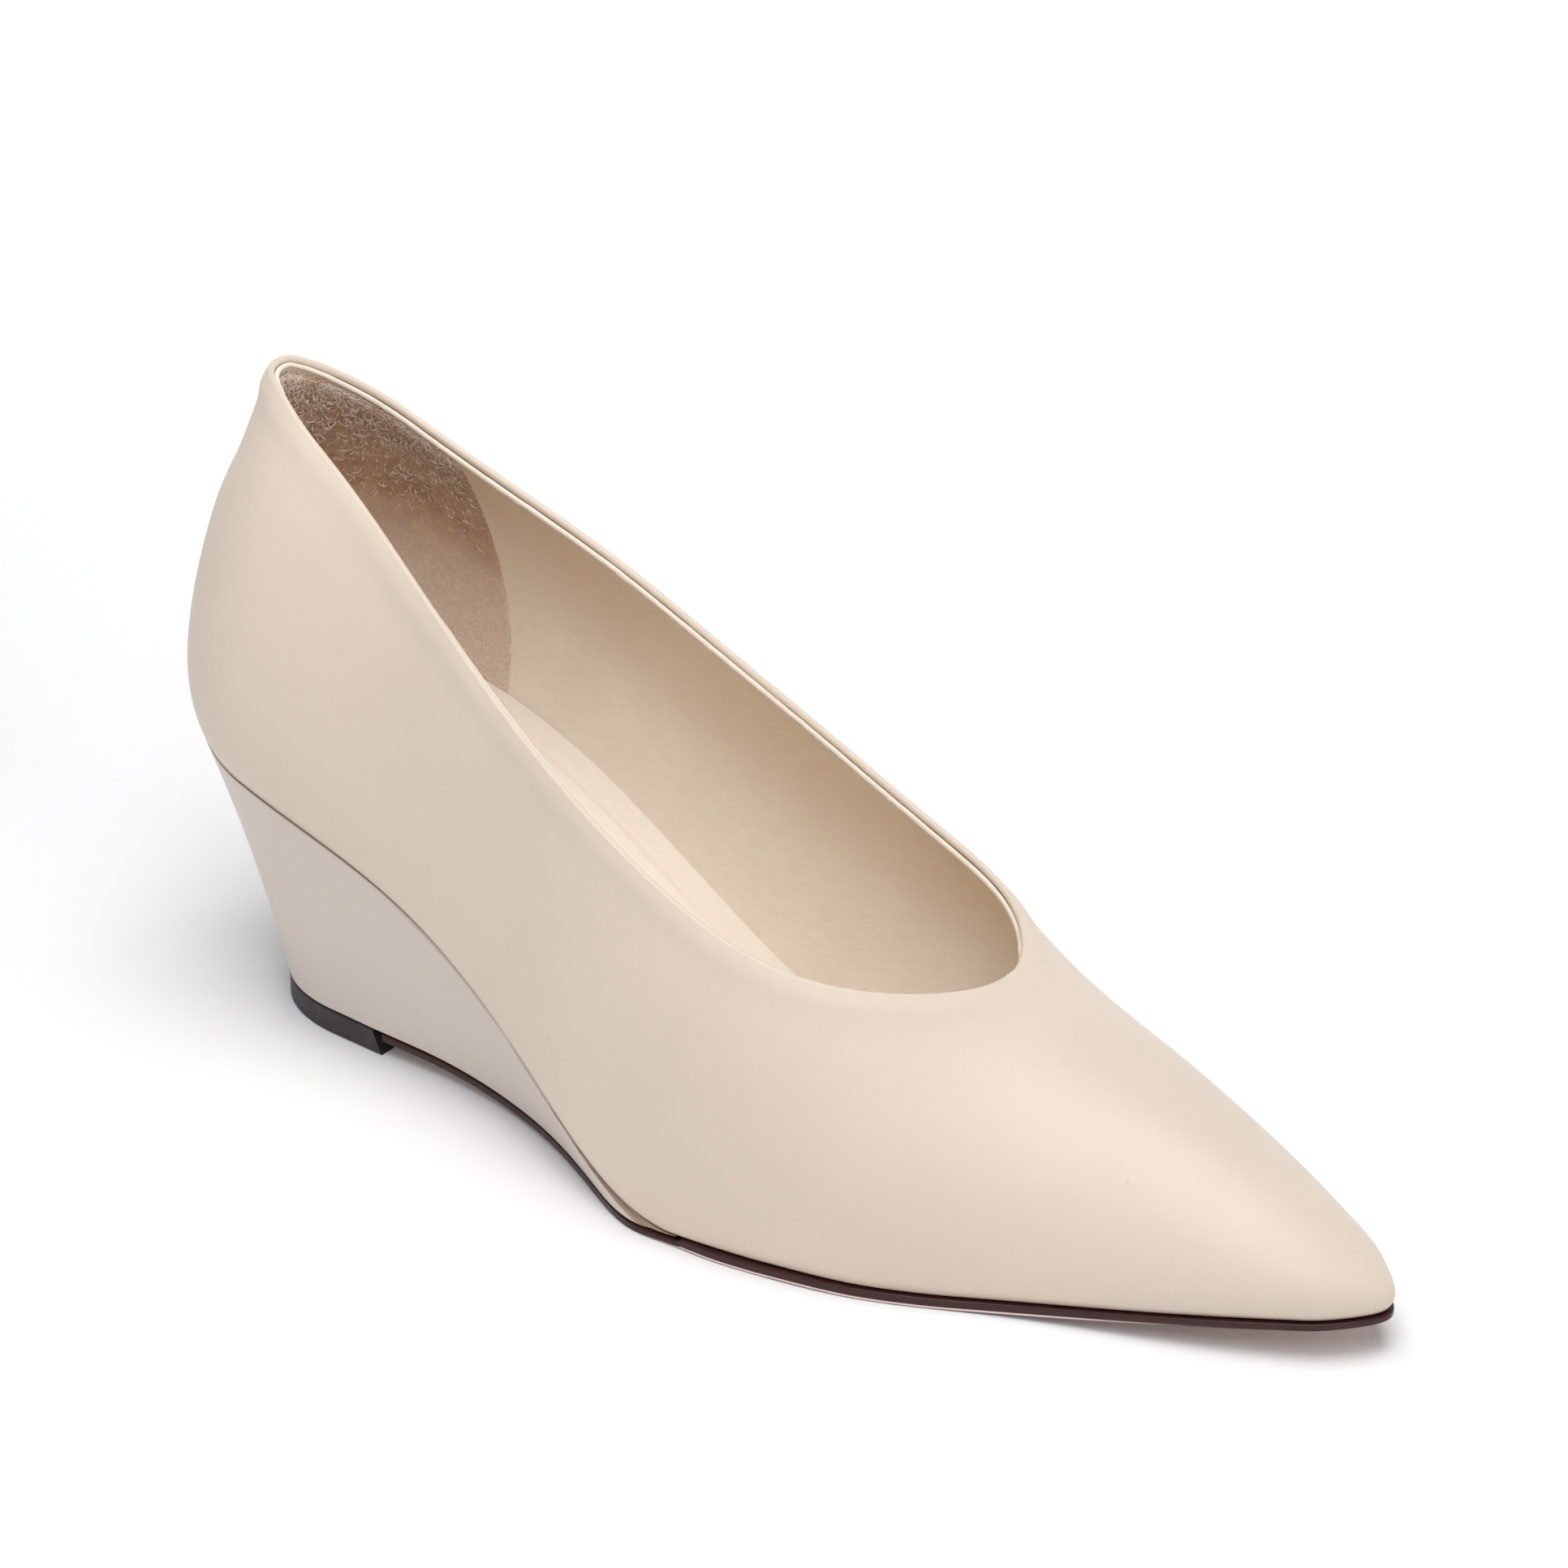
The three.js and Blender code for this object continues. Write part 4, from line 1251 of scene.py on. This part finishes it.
class WEDGE_PUMP_OT_wedge(bpy.types.Operator):
    """Build the leather covered wedge"""

    bl_idname = "wedge_pump.wedge"
    bl_label = "Wedge"

    def execute(self, context):
        sizes, colours = pump()
        last = Last(sizes)
        end = last.share_at(sizes.wedge_front)
        share = stations((0, HEEL_CAP_SHARE, 40), (HEEL_CAP_SHARE, end, 130))
        outline, bottom = waist_outline(last), waist_height(last)
        high_x = last.level(last.seam, share)[0]
        low_x = last.level(outline, share)[0]
        height = last.seat_height(high_x) - sizes.glue_gap - bottom(low_x)
        radius = np.minimum(0.45 * MM, 0.3 * height)
        ups, insets = corner_profile(height, radius, 7, 26)
        fade = 1 - smooth(share / end)
        ahead = smooth((share / end - 0.4) / 0.4)
        from_top = (1 - ups) * height[:, None]
        band = 1 - smooth((from_top - sizes.recess_height) / (0.35 * MM))
        thin = np.clip(height / (2.5 * MM), 0, 1)
        insets = insets + band * (sizes.wedge_recess * ahead * thin)[:, None]
        rings = block_rings(
            last,
            (outline, bottom),
            (last.seam, lambda x: last.seat_height(x) - sizes.glue_gap),
            share,
            (ups, insets),
            hollow=sizes.wedge_hollow * fade,
        )
        points, faces = tube(rings, ("last",))
        # Painted shade: the seam mark darkens the cover's top in the recess under the upper.
        top_away = last.seat_height(points[:, 0]) - points[:, 2]
        ahead = smooth((points[:, 0] - 0.2 * last.length) / (0.3 * last.length))
        reach = sizes.glue_gap + (0.15 * MM + sizes.recess_height * ahead)
        seam = (0.75 + 0.15 * ahead) * (1 - smooth((top_away - reach) / (0.3 * MM)))
        tones = (colours.cover, colours.seam)
        finish = smooth_leather("wedge_calf_shaded", *tones, roughness=0.42, grain=0.3, specks=0.3)
        piece = make_piece("wedge_cover", points, faces, finish, {"seam": seam})
        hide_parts("wedge")
        return {"FINISHED"}


def sole_outline(last):
    """Plan of the sole: the wedge's underside at the waist, the seam line and a margin in front."""
    sizes = last.sizes

    def outline(share, side):
        x, front = last.inset(last.seam, share, side, -sizes.sole_margin)
        share_front = smooth((x / last.length - 0.48) / 0.1)
        back = sizes.ball_width * last.waist[side](np.minimum(x / last.length, 0.6))
        return x, back + (front - back) * share_front

    return outline


def sole_top(last):
    """Height of the sole's upper face: under the waist's curve, then under the seam line."""
    sizes = last.sizes
    below = waist_height(last)

    def height(x):
        ahead = np.clip((x - sizes.wedge_front - sizes.glue_gap) / (1.2 * MM), 0, 1)
        behind = below(np.minimum(x, sizes.wedge_front)) - sizes.glue_gap
        return behind + (last.seat_height(x) - sizes.glue_gap - behind) * ahead

    return height


def sole_bottom(last):
    """Height of the sole's underside: its upper face less a thickness that changes on the way."""
    sizes = last.sizes
    top = sole_top(last)

    def height(x):
        front = smooth((x / last.length - 0.4) / 0.2)
        toe = smooth((x / last.length - 0.72) / 0.26)
        thickness = sizes.waist_sole_thickness * (1 - front) + sizes.sole_thickness * front
        thickness = thickness * (1 - toe) + sizes.toe_sole_thickness * toe
        return np.maximum(0, top(x) - thickness)

    return height


class WEDGE_PUMP_OT_sole(bpy.types.Operator):
    """Build the thin leather sole with its painted edge"""

    bl_idname = "wedge_pump.sole"
    bl_label = "Sole"

    def execute(self, context):
        sizes, colours = pump()
        last = Last(sizes)
        start = last.share_at(sizes.lift_front + sizes.lift_slant + sizes.glue_gap)
        step = last.share_at(sizes.wedge_front + sizes.glue_gap)
        after_step = step + 0.006
        share = stations(
            (start, step, 110),
            (step, after_step, 5),
            (after_step, TOE_CAP_SHARE, 120),
            (TOE_CAP_SHARE, 1, 36),
        )
        outline, top, bottom = sole_outline(last), sole_top(last), sole_bottom(last)
        x = last.level(outline, share)[0]
        height = top(x) - bottom(x)
        profile = corner_profile(height, np.minimum(0.3 * MM, 0.3 * height), 7, 18)
        across = 25
        rings = block_rings(last, (outline, bottom), (outline, top), share, profile, across=across)
        points, faces = tube(rings, ("first",))
        x, z = points[:, 0], points[:, 2]
        rise = (z - bottom(x)) / np.maximum(top(x) - bottom(x), 0.5 * MM)
        underside = np.zeros(rings.shape[:2])
        underside[:, : across - 2] = 1
        underside = np.append(underside.ravel(), 0)
        at = x / last.length
        # Painted highlight: a pale bevel line low on the forefoot's edge, where light catches it.
        ahead = smooth((at - 0.5) / 0.06) * (1 - smooth((at - 0.78) / 0.14))
        line = smooth((rise - 0.07) / 0.05) * (1 - smooth((rise - 0.26) / 0.05))
        bevel = ahead * line * (underside < 0.5)
        tones = (colours.sole_edge, colours.sole_bevel_highlight, colours.sole_under)
        finish = sole_finish("painted_sole", *tones)
        marks = {"bevel": bevel, "underside": underside}
        piece = make_piece("sole", points, faces, finish, marks)
        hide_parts("outsole")
        return {"FINISHED"}


class WEDGE_PUMP_OT_lift(bpy.types.Operator):
    """Build the rubber top lift"""

    bl_idname = "wedge_pump.lift"
    bl_label = "Top lift"

    def execute(self, context):
        sizes, colours = pump()
        last = Last(sizes)
        outline = waist_outline(last)
        end = last.share_at(sizes.wedge_front)
        cap_end = sizes.lift_setback + sizes.lift_cap
        along = (sizes.lift_front - cap_end) / (sizes.wedge_front - cap_end)
        front = HEEL_CAP_SHARE + along * (end - HEEL_CAP_SHARE)
        share = stations((0, HEEL_CAP_SHARE, 48), (HEEL_CAP_SHARE, front, 20))
        height = np.full(len(share), sizes.lift_height)
        profile = corner_profile(height, np.full(len(share), 0.35 * MM), 7, 10)
        rings = block_rings(
            last,
            (outline, lambda x: 0 * x),
            (outline, lambda x: 0 * x + sizes.lift_height),
            share,
            profile,
            across=21,
        )
        lean = np.clip((share - HEEL_CAP_SHARE) / (front - HEEL_CAP_SHARE), 0, 1)
        rings[..., 0] += sizes.lift_slant * lean[:, None] * (1 - rings[..., 2] / sizes.lift_height)
        points, faces = tube(rings, ("last",))
        finish = lift_rubber("lift_rubber", colours.lift)
        piece = make_piece("lift", points, faces, finish)
        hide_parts("top_lift")
        return {"FINISHED"}


def floor_points(middle, curve, around):
    """Pale studio floor as a grid: a disc whose rim rises on a quarter circle, turned about Z."""
    turns = np.linspace(0, math.pi / 2, 17)
    radius = np.concatenate([[1e-4], middle + curve * np.sin(turns)])
    height = np.concatenate([[0.0], curve * (1 - np.cos(turns))])
    spin = np.linspace(0, 2 * math.pi, around + 1)[:-1, None]
    height = np.broadcast_to(height, (around, len(height)))
    return np.stack([radius * np.cos(spin), radius * np.sin(spin), height], -1)


def floor_finish():
    """Pale matt floor that glows a little behind the shoe and up its rim, as a lit backdrop."""
    values = {"Roughness": 0.6, "Specular IOR Level": 0.1}
    made, tree, shader, place = finish_base("pale_floor", values)
    axes = add(tree, "ShaderNodeSeparateXYZ", {"Vector": place}).outputs
    behind = spread(tree, axes["Y"], 0.03, 0.45, 0.05, 0.5)
    wall = spread(tree, axes["Z"], 0.0, 0.5, 0.0, 0.12)
    tones = {"Base Color": (0.93, 0.935, 0.95, 1), "Emission Color": (1, 1, 1, 1)}
    feed(tree, shader, {**tones, "Emission Strength": maths(tree, "MAXIMUM", behind, wall)})
    return made


def camera_turn(stage, back):
    """Rotation of the camera: it looks against back, then is yawed, pitched and rolled."""
    side = Vector((0, 0, 1)).cross(back).normalized()
    level = Matrix((side, back.cross(side), back))
    turns = [(math.cos(angle), math.sin(angle)) for angle in (stage.yaw, stage.pitch, stage.roll)]
    (cos_y, sin_y), (cos_p, sin_p), (cos_r, sin_r) = turns
    pitched = Matrix(((1, 0, 0), (0, cos_p, -sin_p), (0, sin_p, cos_p)))
    turned = Matrix(((cos_y, 0, sin_y), (0, 1, 0), (-sin_y, 0, cos_y)))
    rolled = Matrix(((cos_r, -sin_r, 0), (sin_r, cos_r, 0), (0, 0, 1)))
    return (rolled @ pitched @ turned @ level).transposed().to_4x4()


class WEDGE_PUMP_OT_stage(bpy.types.Operator):
    """Set up the pale floor, the soft lights and the camera"""

    bl_idname = "wedge_pump.stage"
    bl_label = "Stage"

    def execute(self, context):
        stage = context.scene.wedge_pump_stage
        link = context.scene.collection.objects.link
        bowl = floor_points(1.6, 1.8, 96)
        ids = np.arange(bowl.shape[0] * bowl.shape[1]).reshape(bowl.shape[:2])
        mesh = bpy.data.meshes.new("floor")
        mesh.from_pydata(bowl.reshape(-1, 3).tolist(), [], strip(ring(ids))[:, ::-1].tolist())
        mesh.polygons.foreach_set("use_smooth", np.ones(len(mesh.polygons), bool))
        mesh.materials.append(floor_finish())
        floor = bpy.data.objects.new("floor", mesh)
        link(floor)
        world = bpy.data.worlds.new("studio")
        world.use_nodes = True
        sky = world.node_tree.nodes["Background"]
        feed(world.node_tree, sky, {"Color": (0.94, 0.965, 1, 1), "Strength": stage.sky})
        context.scene.world = world
        target = Vector((0, 0, stage.target_height))
        lights = (
            ("key_light", Vector((0.1, -0.14, 1.3)), stage.key_power, 0.9, (1, 0.985, 0.965)),
            ("fill_light", Vector((0.45, -0.75, 1.2)), stage.fill_power, 0.7, (0.95, 0.97, 1)),
        )
        for name, place, power, width, colour in lights:
            data = bpy.data.lights.new(name, "AREA")
            data.energy = power
            data.size = width
            data.color = colour
            light = bpy.data.objects.new(name, data)
            light.location = place
            light.rotation_euler = (place - target).to_track_quat("Z", "Y").to_euler()
            link(light)
        level_reach = math.cos(stage.elevation)
        away = (math.sin(stage.azimuth) * level_reach, -math.cos(stage.azimuth) * level_reach)
        back = Vector((*away, math.sin(stage.elevation)))
        sizes, _ = pump()
        toe = toe_tip()
        middle = toe[0] - sizes.shoe_length - sizes.sole_margin + sizes.shoe_length / 2
        aim = Vector((middle, toe[1], stage.target_height))
        data = bpy.data.cameras.new("camera")
        data.lens = stage.lens
        data.sensor_width = 36
        data.clip_end = 20
        camera = bpy.data.objects.new("camera", data)
        place = Matrix.Translation(aim + back * stage.distance)
        camera.matrix_world = place @ camera_turn(stage, back)
        link(camera)
        context.scene.camera = camera
        context.scene.view_settings.view_transform = "Standard"
        return {"FINISHED"}


class WEDGE_PUMP_PT_panel(bpy.types.Panel):
    """Lists the shoe's pieces in the sidebar"""

    bl_idname = "WEDGE_PUMP_PT_panel"
    bl_label = "Wedge pump"
    bl_space_type = "VIEW_3D"
    bl_region_type = "UI"
    bl_category = "Wedge pump"

    def draw(self, context):
        for operator in OPERATORS:
            self.layout.operator(operator.bl_idname)
        for group in ("wedge_pump_sizes", "wedge_pump_colours", "wedge_pump_stage"):
            settings = getattr(context.scene, group)
            for name in settings.__annotations__:
                self.layout.prop(settings, name)


SETTINGS = {
    "wedge_pump_sizes": WedgePumpSizes,
    "wedge_pump_colours": WedgePumpColours,
    "wedge_pump_stage": WedgePumpStage,
}
OPERATORS = (
    WEDGE_PUMP_OT_upper,
    WEDGE_PUMP_OT_lining,
    WEDGE_PUMP_OT_heel_grip,
    WEDGE_PUMP_OT_sock,
    WEDGE_PUMP_OT_wedge,
    WEDGE_PUMP_OT_sole,
    WEDGE_PUMP_OT_lift,
    WEDGE_PUMP_OT_stage,
)


def register():
    """Add the settings, the operators and the panel."""
    for name, group in SETTINGS.items():
        bpy.utils.register_class(group)
        setattr(bpy.types.Scene, name, PointerProperty(type=group))
    for operator in OPERATORS:
        bpy.utils.register_class(operator)
    bpy.utils.register_class(WEDGE_PUMP_PT_panel)


def unregister():
    """Take away what register adds, in turned order."""
    bpy.utils.unregister_class(WEDGE_PUMP_PT_panel)
    for operator in reversed(OPERATORS):
        bpy.utils.unregister_class(operator)
    for name, group in SETTINGS.items():
        delattr(bpy.types.Scene, name)
        bpy.utils.unregister_class(group)


def main():
    """Build the shoe and its stage."""
    register()
    bpy.ops.wedge_pump.upper()
    bpy.ops.wedge_pump.lining()
    bpy.ops.wedge_pump.heel_grip()
    bpy.ops.wedge_pump.sock()
    bpy.ops.wedge_pump.wedge()
    bpy.ops.wedge_pump.sole()
    bpy.ops.wedge_pump.lift()
    bpy.ops.wedge_pump.stage()


if __name__ == "__main__":
    main()
